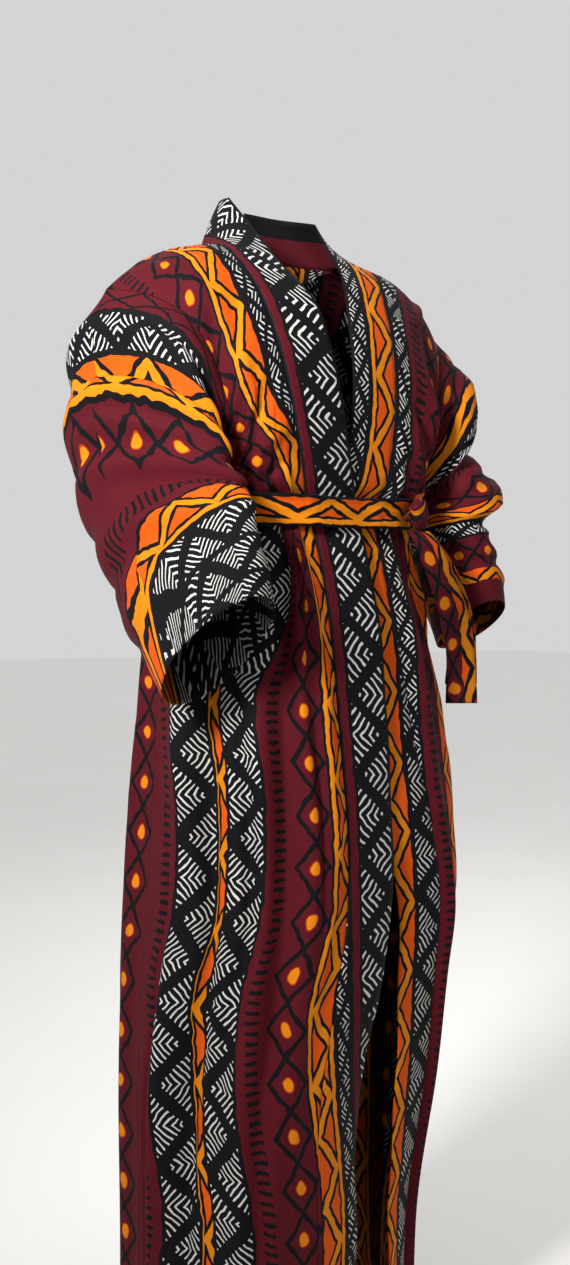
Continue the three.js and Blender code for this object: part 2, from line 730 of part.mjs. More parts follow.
// The sash follows the robe round the waist, bridging from crest to crest of its folds.
function beltPiece(bodyPieces) {
  const step = 2 * Math.PI / BELT_COLUMNS;
  const nearby = Math.cos(BELT_BRIDGE_COLUMNS * step);
  const grid = BELT_ROWS.map((share) => {
    const row = [];
    for (let column = 0; column < BELT_COLUMNS; column += 1) {
      const angle = column * step - Math.PI;
      const sag = BELT_SAG * Math.max(Math.cos(angle - BELT_SAG_TURN), 0);
      const z = BELT_MIDDLE_Z + share * BELT_HEIGHT - sag;
      const outline = outlineAt(bodyPieces, z);
      const near = outline.filter(([place]) => Math.cos(place - angle) > nearby);
      const radius = Math.max(...near.map((entry) => entry[1])) + BELT_GAP;
      row.push([radius * Math.cos(angle), radius * Math.sin(angle), z]);
    }
    return row;
  });
  return { name: "belt", grid, loop: true, inside: () => [0, 0, BELT_MIDDLE_Z] };
}

function tailPiece(name, stations, foot) {
  const rows = stations.map((station) => {
    return [...add(foot, station.middle), ...station.across, station.bow];
  });
  const grid = [];
  for (let step = 0; step <= (stations.length - 1) * TAIL_STEPS; step += 1) {
    const values = along(rows, step / TAIL_STEPS);
    const middle = values.slice(0, 3);
    const across = values.slice(3, 6);
    const row = [];
    for (let column = 0; column <= TAIL_COLUMNS; column += 1) {
      const share = 2 * column / TAIL_COLUMNS - 1;
      const bow = values[6] * (1 - share * share);
      row.push(add(add(middle, across, share), [0, -bow, 0]));
    }
    grid.push(row);
  }
  return { name, grid, inside: (point) => [point[0], 0, point[2]] };
}

// The knot sits on the sash: its middle, and the level direction straight out from there.
// It stands off far enough to clear the sash at every height, and touches it at one.
function knotSeat(belt) {
  const points = belt.grid.map((row) => row[KNOT_BELT_COLUMN]);
  const last = points.length - 1;
  const middle = mix(points[1], points[2], 0.5);
  const chord = add(belt.grid[1][KNOT_BELT_COLUMN + 1], belt.grid[1][KNOT_BELT_COLUMN - 1], -1);
  const outward = unit([chord[1], -chord[0], 0]);
  let standOff = 0;
  for (let step = 0; step <= last * KNOT_ROWS; step += 1) {
    const row = Math.min(Math.floor(step / KNOT_ROWS), last - 1);
    const point = mix(points[row], points[row + 1], step / KNOT_ROWS - row);
    const lift = Math.min(Math.abs(point[2] - middle[2]) / KNOT_HALF[2], 1);
    const depth = KNOT_HALF[1] * Math.sqrt(1 - lift * lift);
    const off = add(point, middle, -1);
    standOff = Math.max(standOff, off[0] * outward[0] + off[1] * outward[1] + depth);
  }
  standOff += WALL / 2 + KNOT_SEAT_GAP;
  return { middle: add(middle, outward, standOff), outward, sideways: [outward[1], -outward[0], 0] };
}

// A drawn-tight knot: an oval with a waist groove where one end crosses the other.
function knotSolid({ middle, outward, sideways }) {
  const places = [];
  const faces = [];
  const ring = (row) => 1 + (row - 1) * KNOT_COLUMNS;
  places.push(...add(middle, [0, 0, KNOT_HALF[2]]));
  for (let row = 1; row < KNOT_ROWS; row += 1) {
    const polar = row * Math.PI / KNOT_ROWS;
    for (let column = 0; column < KNOT_COLUMNS; column += 1) {
      const angle = column * 2 * Math.PI / KNOT_COLUMNS;
      const off = polar - KNOT_GROOVE.polar - KNOT_GROOVE.slant * Math.cos(angle);
      const groove = 1 - KNOT_GROOVE.depth * Math.exp(-off * off / KNOT_GROOVE.breadth);
      const wide = KNOT_HALF[0] * Math.sin(polar) * Math.cos(angle) * groove;
      const deep = KNOT_HALF[1] * Math.sin(polar) * Math.sin(angle) * groove;
      const level = add(add(middle, sideways, wide), outward, deep);
      places.push(level[0], level[1], level[2] + KNOT_HALF[2] * Math.cos(polar));
    }
  }
  places.push(...add(middle, [0, 0, -KNOT_HALF[2]]));
  const foot = places.length / 3 - 1;
  for (let column = 0; column < KNOT_COLUMNS; column += 1) {
    const next = (column + 1) % KNOT_COLUMNS;
    faces.push(0, ring(1) + column, ring(1) + next);
    faces.push(foot, ring(KNOT_ROWS - 1) + next, ring(KNOT_ROWS - 1) + column);
    for (let row = 1; row < KNOT_ROWS - 1; row += 1) {
      const a = ring(row) + column;
      const b = ring(row) + next;
      faces.push(a, a + KNOT_COLUMNS, b + KNOT_COLUMNS, a, b + KNOT_COLUMNS, b);
    }
  }
  return meshFrom(places, faces);
}

function named(name, geometry, look) {
  const mesh = new THREE.Mesh(geometry, new THREE.MeshStandardMaterial(COLOURS[look]));
  mesh.name = name;
  return mesh;
}

const frontRight = frontPanel(RIGHT_FRONT, RIGHT, "right", RIGHT_ARMHOLE,
  RIGHT_FRONT_FOLDS);
const frontLeft = frontPanel(LEFT_FRONT, LEFT, "left", LEFT_ARMHOLE, LEFT_FRONT_FOLDS);
const shoulderOf = (panel, side) => panel[0].map((point) => mirrored(point, side));
const back = backPanel(shoulderOf(frontRight, RIGHT), shoulderOf(frontLeft, LEFT));
const bandRight = neckband(RIGHT_FRONT, frontRight, RIGHT);
const bandLeft = neckband(LEFT_FRONT, frontLeft, LEFT);
const ringRight = armholeRing(frontRight, back, 0);
const ringLeft = armholeRing(frontLeft, back, back[0].length - 1);
const sleeveRight = sleeve(ringRight, RIGHT_SLEEVE, RIGHT_SLEEVE_FOLDS, RIGHT_FRONT, RIGHT);
const sleeveLeft = sleeve(ringLeft, LEFT_SLEEVE, LEFT_SLEEVE_FOLDS, LEFT_FRONT, LEFT);

const bodyAxis = (point) => [0, 0, Math.min(point[2], CHEST_Z)];
const neckAxis = (point) => [0, 0, Math.min(point[2] - COLLAR_DROP, CHEST_Z / 2)];
const armAxis = (grid) => {
  const middles = grid.map((row) => row.reduce((sum, point) => add(sum, point, 1 / row.length),
    [0, 0, 0]));
  const distance = (point, middle) => Math.hypot(...add(point, middle, -1));
  return (point) => middles.reduce((best, middle) => {
    return distance(point, middle) < distance(point, best) ? middle : best;
  });
};

const sewn = [
  { name: "front_right", grid: frontRight, inside: bodyAxis, look: "maroon" },
  { name: "front_left", grid: frontLeft, inside: bodyAxis, look: "maroon" },
  { name: "back", grid: back, inside: bodyAxis, look: "maroon" },
  { name: "neckband_right", grid: bandRight, inside: neckAxis, look: "black" },
  { name: "neckband_left", grid: bandLeft, inside: neckAxis, look: "black" },
  {
    name: "sleeve_right", grid: sleeveRight, loop: true, inside: armAxis(sleeveRight), look: "maroon",
  },
  {
    name: "sleeve_left", grid: sleeveLeft, loop: true, inside: armAxis(sleeveLeft), look: "maroon",
  },
];
const belt = beltPiece(sewn.slice(0, 5));
const seat = knotSeat(belt);
const knotFoot = add(seat.middle, [0, 0, -KNOT_HALF[2] - KNOT_SEAT_GAP]);
const sash = [
  { ...belt, look: "orange" },
  { ...tailPiece("belt_tail_front", FRONT_TAIL, knotFoot), look: "orange" },
  { ...tailPiece("belt_tail_back", BACK_TAIL, knotFoot), look: "orange" },
];

const robe = new THREE.Group();
robe.name = "kimono_robe";
for (const pieces of [sewn, ...sash.map((piece) => [piece])]) {
  const sums = seamNormals(pieces);
  for (const piece of pieces) {
    robe.add(named(piece.name, clothSolid(piece, sums), piece.look));
  }
}
robe.add(named("belt_knot", knotSolid(seat), "maroon"));

export default robe;
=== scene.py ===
"""A worn kimono robe of printed cotton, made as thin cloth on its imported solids."""

import math
from collections import namedtuple
from functools import lru_cache

import bpy
import numpy as np
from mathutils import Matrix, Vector


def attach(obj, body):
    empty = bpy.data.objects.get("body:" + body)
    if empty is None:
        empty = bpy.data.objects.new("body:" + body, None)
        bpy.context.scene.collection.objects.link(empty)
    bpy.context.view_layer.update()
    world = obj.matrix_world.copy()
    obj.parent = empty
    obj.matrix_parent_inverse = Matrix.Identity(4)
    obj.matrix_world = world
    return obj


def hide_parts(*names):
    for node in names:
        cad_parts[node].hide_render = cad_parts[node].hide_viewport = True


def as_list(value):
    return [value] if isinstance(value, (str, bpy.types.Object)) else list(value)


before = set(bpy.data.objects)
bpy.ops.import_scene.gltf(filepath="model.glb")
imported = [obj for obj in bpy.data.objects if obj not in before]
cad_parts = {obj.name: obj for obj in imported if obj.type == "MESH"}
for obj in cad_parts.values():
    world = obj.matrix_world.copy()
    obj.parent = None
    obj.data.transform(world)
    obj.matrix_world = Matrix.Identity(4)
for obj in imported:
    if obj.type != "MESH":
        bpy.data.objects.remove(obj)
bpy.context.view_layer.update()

bl_info = {
    "name": "Printed cotton kimono robe",
    "version": (1, 0, 0),
    "blender": (4, 5, 0),
    "location": "3D View > Sidebar > Robe",
    "description": "Builds a worn kimono robe with its sash as thin printed cloth",
    "category": "Add Mesh",
}

# Sizes in the tables are millimetres. Up is +Z, the front faces -Y, the robe's own right is -X,
# and x in a table counts outwards from the robe's middle.
MM = 0.001
RIGHT = -1
LEFT = 1
ROW_STEP = 6
FRONT_COLUMNS = 60
NECK_COLUMNS = 10
BAND_COLUMNS = 8
SLEEVE_STEPS = 8
TOP_STATIONS = 5
ARMHOLE_LAST = 7
FOLD_RUN_IN = 110
SEAM_PULL = 0.2
SLANT_TURN = 0.55
# Widths of the flat-cut cloth.
BACK_HALF_FLAT = 308
BAND_FLAT = 75
# How far the stitches stand proud of the cloth, and how much thicker the folded neckband is.
HEM_PROUD = 0.1
BAND_PROUD = 0.4
BAND_BULK = 1.6

BELT_HEIGHT = 38
BELT_MIDDLE_Z = -360
BELT_SAG = 9
BELT_SAG_TURN = -0.6 * math.pi
BELT_GAP = 3.6
BELT_COLUMNS = 144
# Cosine of the angle over which the sash looks for crests, and how far it dips between them.
BELT_WINDOW = math.cos(1.4 * 2 * math.pi / 48)
BELT_DIP = 1.4
KNOT_ROWS = 42
KNOT_COLUMNS = 72
KNOT_HALF = (21, 12, 22)
TAIL_STEPS = 10
TAIL_COLUMNS = 8

NAPE = (0, 90, -7)
COLLAR_NAPE = (0, 100, 60)
BELT_ROWS = 9
KNOT_TURN = 17 / 48
KNOT_CLEAR = 1.6
CHEST_Z = -210
COLLAR_DROP = 10
HEM_ROWS = 3
CUT_MAP = "cut"
THREAD = 0.00055
# Share of the print colours that the cotton gives back.
DYE_DEPTH = 0.52
# Sizes of the motifs on the flat cloth, in millimetres: how often they come, where their lines
# end from their middles or from the edge of the band, and the room left between them.
ARROW_PERIOD = 98.0
ARROW_MARGIN = 4.6
ARROW_PITCH = 9.4
ARROW_CLEAR = 10.6
ZIGZAG_HALF_PERIOD = 45.0
ZIGZAG_LINE = 4.3
ZIGZAG_OUTLINE = 8.8
ZIGZAG_RIM = 3.4
ZIGZAG_BASE = 9.0
ZIGZAG_BASE_RIM = 12.6
DIAMOND_HALF_PERIOD = 31.0
DOT = 6.2
DOT_RIM = 7.4
DASH_HALF_WIDTH = 8.5
DASH_HALF_PERIOD = 5.8
DASH_HALF_LENGTH = 2.4

CAMERA_AZIMUTH = -35
CAMERA_HEIGHT = -0.5
CAMERA_DISTANCE = 1.75
SENSOR = 36
FOCAL_PIXELS = 1330
IMAGE_HEIGHT = 1265
HORIZON_PIXEL = 620
FLOOR_Z = -1.5
FLOOR_SPAN = 30
WORLD_STRENGTH = 0.66
# Name, place, target, size, power and spread in degrees of the lights.
LIGHTS = (
    ("key_light", (-2.3, -0.95, 0.8), (0, 0, -0.1), 0.6, 22, 64),
    ("fill_light", (1.2, -3.2, 0.4), (0, 0, -0.7), 2.2, 4, 180),
    ("rim_light", (1.8, 2.2, 1.4), (0, 0, -0.5), 1.5, 14, 180),
)

# Inputs of the stitch tree: the setting that each one takes, and its default in metres.
STITCH_INPUTS = {
    "Pitch": ("stitch_pitch", 0.0034),
    "Length": ("stitch_length", 0.0026),
    "Thickness": ("stitch_thickness", 0.0005),
}
# Settings of the add-on: key, name, description, default and kind.
LENGTH = {"unit": "LENGTH"}
FACTOR = {"subtype": "FACTOR"}
SIZES = (
    ("cloth_thickness", "Cloth thickness", "Thickness of the printed cotton", 0.0008, LENGTH),
    ("sash_thickness", "Sash thickness", "Thickness of the folded sash", 0.0022, LENGTH),
    ("crease_strength", "Crease strength", "How deep the small creases are", 1.6, FACTOR),
    ("stitch_length", "Stitch length", "Length of one stitch", 0.0026, LENGTH),
    ("stitch_pitch", "Stitch pitch", "Distance from stitch to stitch", 0.0034, LENGTH),
    ("stitch_thickness", "Thread thickness", "Thickness of the sewing thread", 0.0005, LENGTH),
)
COLOURS = (
    ("maroon", "Maroon", "Ground of the print", "62121F"),
    ("black", "Black", "Bands and outlines of the print", "100F14"),
    ("white", "White", "Strokes of the arrow bands", "EFEDE6"),
    ("yellow", "Yellow orange", "Zigzag lines and dots", "FB930F"),
    ("orange", "Red orange", "Triangles of the zigzag bands", "F7620C"),
    ("rust", "Rust", "Rims of the dots", "C23A10"),
    ("thread", "Thread", "Sewing thread", "201C22"),
)

Station = namedtuple("Station", "name seam edge arm swell", defaults=(None, None))
Side = namedtuple("Side", "name back_y z swell right left y", defaults=(None,) * 4)
Fold = namedtuple("Fold", "at width depth top bottom drift")
Ring = namedtuple("Ring", "name outer inner front back")
Crease = namedtuple("Crease", "along around length breadth depth")
TailStation = namedtuple("TailStation", "middle across bow")

RIGHT_ARMHOLE = {
    "front": (
        (258, 8, -100), (238, -50, -114), (208, -90, -141), (183, -106, -180),
        (168, -113, -225), (156, -111, -270), (160, -69, -303), (165, -6, -326),
    ),
    "back": (
        (258, 8, -100), (246, 58, -122), (233, 90, -158), (220, 102, -205),
        (204, 100, -250), (186, 76, -292), (172, 35, -318), (165, -6, -326),
    ),
}
LEFT_ARMHOLE = {
    "front": (
        (250, 8, -98), (214, -50, -114), (191, -86, -145), (176, -104, -185),
        (165, -113, -228), (156, -112, -272), (157, -75, -309), (165, -6, -326),
    ),
    "back": (
        (250, 8, -98), (240, 58, -122), (228, 90, -158), (216, 102, -205),
        (202, 100, -250), (185, 76, -292), (172, 35, -318), (165, -6, -326),
    ),
}
RIGHT_FRONT = tuple(Station(*row) for row in (
    ("shoulder", (105, 30, -20), (75, 20, 48), 0, (0, 0, 18)),
    ("collarbone", (126, -52, -42), (75, -95, -58), 1.3, (0, -10, 14)),
    ("high_chest", (122, -112, -100), (54, -142, -118), 2.7, (0, -8, 6)),
    ("chest", (110, -138, -165), (38, -154, -175), 4, (0, -8, 0)),
    ("bust", (96, -148, -235), (22, -154, -240), 5.3, (2, -8, -4)),
    ("underarm", (73, -141, -322), (-3, -144, -322), 7, (8, -8, -10)),
    ("waist", (62, -133, -362), (-13, -136, -362)),
    ("high_hip", (52, -147, -430), (-23, -149, -430)),
    ("hip", (44, -158, -520), (-31, -160, -520)),
    ("low_hip", (36, -165, -640), (-39, -165, -640)),
    ("thigh", (28, -170, -760), (-47, -166, -760)),
    ("knee", (32, -174, -860), (-43, -166, -860)),
    ("low_knee", (51, -176, -960), (-24, -164, -960)),
    ("calf", (73, -175, -1090), (0, -158, -1090)),
    ("shin", (74, -173, -1270), (2, -152, -1270)),
    ("hem", (72, -172, -1460), (0, -150, -1460)),
))
LEFT_FRONT = tuple(Station(*row) for row in (
    ("shoulder", (100, 30, -20), (60, 20, 34), 0, (0, 0, 18)),
    ("collarbone", (100, -56, -40), (32, -70, -45), 1.3, (0, -10, 12)),
    ("high_chest", (80, -112, -100), (9, -122, -108), 2.7, (0, -8, 4)),
    ("chest", (74, -136, -165), (0, -142, -170), 4, (0, -6, 0)),
    ("bust", (72, -142, -235), (-3, -146, -240), 5.3, (2, -6, -4)),
    ("underarm", (66, -134, -322), (-8, -133, -322), 7, (8, -8, -10)),
    ("waist", (50, -124, -362), (-25, -123, -362)),
    ("high_hip", (55, -137, -430), (-20, -136, -430)),
    ("hip", (69, -147, -520), (-6, -147, -520)),
    ("low_hip", (89, -153, -640), (14, -153, -640)),
    ("thigh", (118, -156, -760), (46, -154, -760)),
    ("knee", (138, -149, -860), (68, -152, -860)),
    ("low_knee", (139, -137, -960), (69, -149, -960)),
    ("calf", (138, -120, -1090), (70, -140, -1090)),
    ("shin", (132, -90, -1270), (76, -124, -1270)),
    ("hem", (129, -86, -1460), (74, -120, -1460)),
))
SIDES = tuple(Side(*row) for row in (
    ("shoulder", 92, -8, (0, 0, 18)),
    ("collarbone", 104, -62, (0, 8, 14)),
    ("high_chest", 112, -118, (0, 12, 6)),
    ("chest", 118, -176, (0, 14, 0)),
    ("bust", 124, -238, (4, 14, -4)),
    ("underarm", 127, -322, (10, 10, -10)),
    ("waist", 120, -362, None, 155, 155, 0),
    ("high_hip", 134, -430, None, 168, 170, 2),
    ("hip", 145, -520, None, 182, 188, 4),
    ("low_hip", 150, -640, None, 192, 205, 4),
    ("thigh", 152, -760, None, 199, 214, 2),
    ("knee", 154, -860, None, 206, 221, 0),
    ("low_knee", 156, -960, None, 214, 197, 0),
    ("calf", 154, -1090, None, 218, 184, 0),
    ("shin", 152, -1270, None, 216, 165, 0),
    ("hem", 152, -1460, None, 216, 160, 0),
))
RIGHT_FRONT_FOLDS = tuple(Fold(*row) for row in (
    (0.12, 0.07, 13, -400, -1500, 0.1),
    (0.27, 0.06, -10, -372, -1500, 0.06),
    (0.42, 0.09, 15, -560, -1500, -0.04),
    (0.63, 0.07, -11, -470, -1500, 0.02),
    (0.8, 0.08, 12, -420, -1500, 0.02),
    (0.3, 0.07, 6, -230, -345, -0.06),
    (0.62, 0.08, 8, -180, -350, -0.1),
))
LEFT_FRONT_FOLDS = tuple(Fold(*row) for row in (
    (0.15, 0.08, 10, -420, -1500, 0),
    (0.36, 0.08, -10, -400, -1500, 0.04),
    (0.6, 0.09, 13, -500, -1500, 0.02),
    (0.82, 0.07, -9, -430, -1500, 0),
    (0.3, 0.07, 6, -230, -345, -0.06),
    (0.64, 0.08, 8, -180, -350, -0.1),
))
BACK_FOLDS = tuple(Fold(*row) for row in (
    (-0.82, 0.07, 12, -420, -1500, 0),
    (-0.64, 0.06, -10, -380, -1500, 0),
    (-0.46, 0.07, 14, -520, -1500, -0.02),
    (-0.24, 0.07, -11, -372, -1500, -0.02),
    (-0.04, 0.08, 12, -450, -1500, 0.03),
    (0.18, 0.07, -10, -372, -1500, 0.02),
    (0.38, 0.08, 14, -560, -1500, 0.02),
    (0.6, 0.07, -11, -400, -1500, 0.01),
    (0.8, 0.07, 10, -450, -1500, 0),
    (-0.3, 0.1, 7, -160, -350, 0.08),
    (0.3, 0.1, 7, -160, -350, -0.08),
))
RIGHT_SLEEVE = tuple(Ring(*row) for row in (
    ("shoulder_cap", (272, 14, -142), (176, -6, -334), (196, -122, -212), (248, 98, -228)),
    ("upper_arm", (270, 16, -195), (180, -8, -343), (192, -136, -262), (240, 92, -288)),
    ("mid_arm", (271, 14, -252), (181, -12, -352), (186, -150, -304), (240, 90, -340)),
    ("elbow", (267, 10, -318), (180, -24, -366), (181, -166, -338), (236, 74, -390)),
    ("below_elbow", (258, -22, -385), (178, -50, -394), (180, -182, -362), (224, 26, -446)),
    ("forearm", (256, -66, -436), (172, -84, -440), (184, -205, -398), (226, -8, -498)),
    ("low_forearm", (257, -118, -486), (166, -124, -488), (188, -222, -438), (226, -54, -548)),
    ("cuff", (256, -162, -534), (162, -168, -536), (190, -228, -474), (226, -104, -598)),
))
LEFT_SLEEVE = tuple(Ring(*row) for row in (
    ("shoulder_cap", (272, 10, -140), (177, -6, -334), (195, -115, -205), (245, 98, -226)),
    ("upper_arm", (293, 8, -195), (184, -8, -343), (215, -130, -255), (252, 100, -285)),
    ("mid_arm", (282, 8, -254), (186, -12, -354), (205, -125, -298), (250, 96, -335)),
    ("elbow", (312, -8, -322), (190, -26, -368), (236, -140, -345), (252, 80, -384)),
    ("below_elbow", (286, -28, -380), (196, -44, -396), (226, -132, -376), (246, 42, -420)),
    ("forearm", (302, -46, -430), (202, -58, -434), (238, -134, -410), (248, 22, -462)),
    ("low_forearm", (303, -66, -474), (208, -76, -476), (248, -136, -450), (252, -10, -500)),
    ("cuff", (299, -78, -506), (212, -86, -506), (254, -134, -474), (252, -30, -540)),
))
RIGHT_SLEEVE_FOLDS = tuple(Crease(*row) for row in (
    (1.6, 0.75, 0.5, 0.5, -9),
    (2.6, 0.1, 0.6, 0.6, 9),
    (3.4, 0.6, 0.4, 0.45, -10),
    (4.2, 0.15, 0.4, 0.5, -8),
    (5, -0.3, 0.5, 0.5, 9),
    (5.9, 0.3, 0.4, 0.5, -7),
    (6.6, -0.2, 0.5, 0.5, 7),
))
LEFT_SLEEVE_FOLDS = tuple(Crease(*row) for row in (
    (2.9, 0.4, 0.45, 0.7, -9),
    (3.9, 0.35, 0.6, 0.7, 9),
    (4.8, 0.35, 0.4, 0.7, -8),
    (5.9, -0.3, 0.5, 0.6, 7),
))
FRONT_TAIL = tuple(TailStation(*row) for row in (
    ((-2, -1.7, 0), (13, -5, 0), 0),
    ((4, -10, -16), (14, -5, 2), 3),
    ((20, -14, -50), (15, -6, 6), 4),
    ((46, -8, -94), (15, -8, 8), 4),
    ((68, 0, -137), (16, -9, 6), -3),
    ((78, 7, -180), (17, -10, 2), -4),
    ((80, 9, -222), (18, -10, 0), 3),
))
BACK_TAIL = tuple(TailStation(*row) for row in (
    ((2, 1.7, 0), (13, -5, 0), 0),
    ((12, -2, -15), (13, -6, 2), -3),
    ((36, -4, -48), (14, -8, 4), 3),
    ((62, 4, -88), (15, -10, 4), 4),
    ((88, 18, -126), (15, -11, 3), -3),
    ((100, 30, -163), (16, -12, 0), 3),
    ((102, 34, -198), (17, -12, 0), 3),
))

# Cloth hidden in folds: where along the row it is tucked in and over what breadth, the width
# hidden, and the heights between which it comes in and goes out.
RIGHT_FRONT_TUCKS = (
    (-3, 3, 42, -220, -330, -820, -980), (62, 8, 20, -330, -366, -420, -620),
    (92, 8, 22, -330, -366, -430, -640), (122, 8, 24, -320, -360, -440, -660),
    (150, 8, 24, -320, -360, -420, -600),
)
LEFT_FRONT_TUCKS = (
    (40, 8, 18, -330, -366, -420, -560), (80, 8, 20, -330, -366, -430, -600),
    (110, 8, 20, -320, -360, -420, -560),
)
BACK_TUCKS = (
    (40, 9, 20, -330, -366, -430, -620), (80, 9, 22, -330, -366, -430, -640),
    (120, 9, 24, -320, -360, -440, -660),
)

# Small creases: start and end across the panel from its inner edge, and heights,
# then width and depth. A trough is negative.
RIGHT_FRONT_CREASES = (
    (92, -318, 20, -214, 9, -4.5), (104, -296, 44, -176, 10, 4), (112, -270, 70, -120, 8, -3.5),
    (118, -322, 46, -300, 8, -4), (88, -336, 10, -262, 8, 3.5), (70, -346, 16, -306, 6, -3),
    (60, -128, 112, -64, 10, 3), (28, -92, 60, -180, 9, -2.5), (130, -180, 92, -240, 9, 3.5),
    (40, -396, 66, -560, 8, -5), (96, -402, 88, -500, 7, 4), (140, -398, 170, -640, 9, -6),
    (180, -404, 214, -560, 8, 5), (22, -600, 30, -980, 10, 4), (118, -700, 132, -1120, 11, -5),
    (200, -620, 178, -1000, 12, 6), (226, -700, 236, -1300, 9, -5), (64, -1020, 54, -1440, 11, 5),
    (150, -1100, 162, -1450, 12, 6), (250, -480, 262, -760, 8, -4), (90, -1240, 100, -1455, 9, -4),
    (34, -410, 36, -900, 7, -7), (14, -430, 12, -860, 8, 4), (128, -460, 116, -980, 9, -6),
    (172, -760, 166, -1420, 12, -6), (206, -900, 214, -1440, 12, 6), (48, -1000, 40, -1450, 9, -5),
)
LEFT_FRONT_CREASES = (
    (96, -312, 24, -206, 9, -4.5), (106, -292, 50, -168, 10, 4), (114, -268, 74, -128, 8, -3.5),
    (90, -334, 12, -268, 8, 3.5), (70, -344, 18, -304, 6, -3), (50, -120, 96, -60, 9, 3),
    (44, -400, 60, -540, 8, -5), (104, -400, 96, -520, 7, 4), (150, -398, 168, -600, 9, -6),
    (26, -620, 36, -960, 9, -4), (120, -680, 112, -1100, 11, 5), (180, -640, 190, -1240, 10, -5),
    (60, -1000, 70, -1440, 10, 4), (140, -1080, 148, -1450, 11, -5), (220, -700, 214, -1300, 9, 5),
)
BACK_CREASES = (
    (-150, -308, -60, -176, 11, -5), (150, -308, 62, -184, 11, -5), (-128, -330, -40, -262, 9, 4),
    (130, -332, 36, -256, 9, 4), (-40, -70, -90, -190, 12, -3), (44, -66, 96, -200, 12, -3),
    (-8, -120, 6, -300, 14, 3.5), (-196, -404, -190, -640, 9, -5), (-120, -400, -128, -700, 9, 5),
    (-62, -398, -50, -600, 8, -5), (20, -402, 12, -660, 9, 5), (88, -398, 96, -620, 8, -5),
    (160, -404, 150, -700, 9, 5), (210, -420, 204, -800, 9, -4), (-230, -640, -222, -1200, 11, 5),
    (-140, -760, -150, -1340, 12, -6), (-20, -800, -34, -1400, 12, 6), (70, -760, 84, -1300, 12, 5),
    (170, -820, 160, -1420, 12, -6), (-90, -1000, -96, -1455, 10, 5),
    (120, -1080, 124, -1455, 10, 5),
)

# Gathers at the sash: place across the panel, width, depth, reach above it and below it.
GATHERS = (
    (-0.93, 0.022, 4, 40, 90), (-0.84, 0.02, -4, 50, 60), (-0.74, 0.024, 5, 60, 110),
    (-0.66, 0.018, -4, 30, 70), (-0.55, 0.026, 4, 70, 60), (-0.45, 0.02, -5, 40, 120),
    (-0.36, 0.022, 4, 50, 60), (-0.24, 0.02, -3.5, 60, 90), (-0.13, 0.024, 4, 40, 70),
    (0.1, 0.022, 4, 50, 80), (0.19, 0.018, -4, 30, 60), (0.28, 0.024, 5, 60, 100),
    (0.4, 0.02, -4, 70, 60), (0.5, 0.024, 4, 40, 120), (0.62, 0.02, -5, 50, 80),
    (0.7, 0.022, 4, 60, 60), (0.82, 0.02, -4, 40, 100), (0.91, 0.022, 4, 50, 70),
    (1.4, 0.04, 5, 50, 90), (1.62, 0.035, -5, 40, 70), (1.85, 0.04, 5, 60, 110),
    (2.1, 0.035, -4, 50, 60), (2.34, 0.04, 5, 40, 90), (2.55, 0.035, -5, 60, 120),
    (2.8, 0.04, 4, 50, 70), (3.02, 0.035, -5, 40, 80), (3.28, 0.04, 5, 60, 60),
    (3.5, 0.035, -4, 50, 110), (3.76, 0.04, 5, 40, 70), (4.0, 0.035, -5, 60, 90),
    (4.25, 0.04, 5, 50, 60), (4.48, 0.035, -4, 40, 120),
)

# Creases that cross a sleeve: along counts rings, around is the angle in half turns.
RIGHT_SLEEVE_CREASES = tuple(Crease(*row) for row in (
    (0.9, 0.42, 0.16, 0.3, -4), (1.3, 0.2, 0.2, 0.25, 3.5), (1.9, 0.5, 0.14, 0.3, 4),
    (2.2, 0.32, 0.13, 0.3, -5), (2.55, 0.62, 0.15, 0.3, 4.5), (2.9, 0.38, 0.13, 0.28, -5),
    (3.15, 0.12, 0.16, 0.3, 4), (3.45, 0.5, 0.13, 0.25, 5), (3.75, 0.3, 0.13, 0.3, -5),
    (4.05, 0.55, 0.13, 0.3, 4.5), (4.5, 0.36, 0.14, 0.3, 4), (4.85, 0.05, 0.16, 0.25, -4.5),
    (5.25, 0.4, 0.15, 0.3, 4), (5.6, -0.12, 0.16, 0.3, -4), (6.1, 0.12, 0.18, 0.25, 4),
    (6.5, 0.5, 0.2, 0.3, -3.5), (6.9, -0.4, 0.2, 0.3, -3.5), (1.5, -0.3, 0.25, 0.3, -4),
    (2.4, -0.5, 0.22, 0.35, 4), (3.2, -0.6, 0.2, 0.35, -4), (4.2, -0.5, 0.22, 0.35, 4),
    (5.0, -0.7, 0.22, 0.3, -4), (5.9, -0.6, 0.22, 0.3, 3.5), (0.6, 0.85, 0.2, 0.25, -4),
    (2.5, 0.5, 0.2, 0.22, -6), (3.3, 0.4, 0.22, 0.3, -8), (3.8, 0.48, 0.2, 0.25, 7),
    (4.3, 0.3, 0.2, 0.3, -8), (1.1, 0.6, 0.3, 0.18, -6), (2.1, 0.1, 0.18, 0.35, -5),
    (2.75, -0.05, 0.16, 0.3, 5), (3.0, 0.2, 0.14, 0.3, -6), (3.5, -0.1, 0.16, 0.35, -6),
    (4.0, 0.1, 0.16, 0.3, 5), (4.6, -0.25, 0.18, 0.3, -5),
))
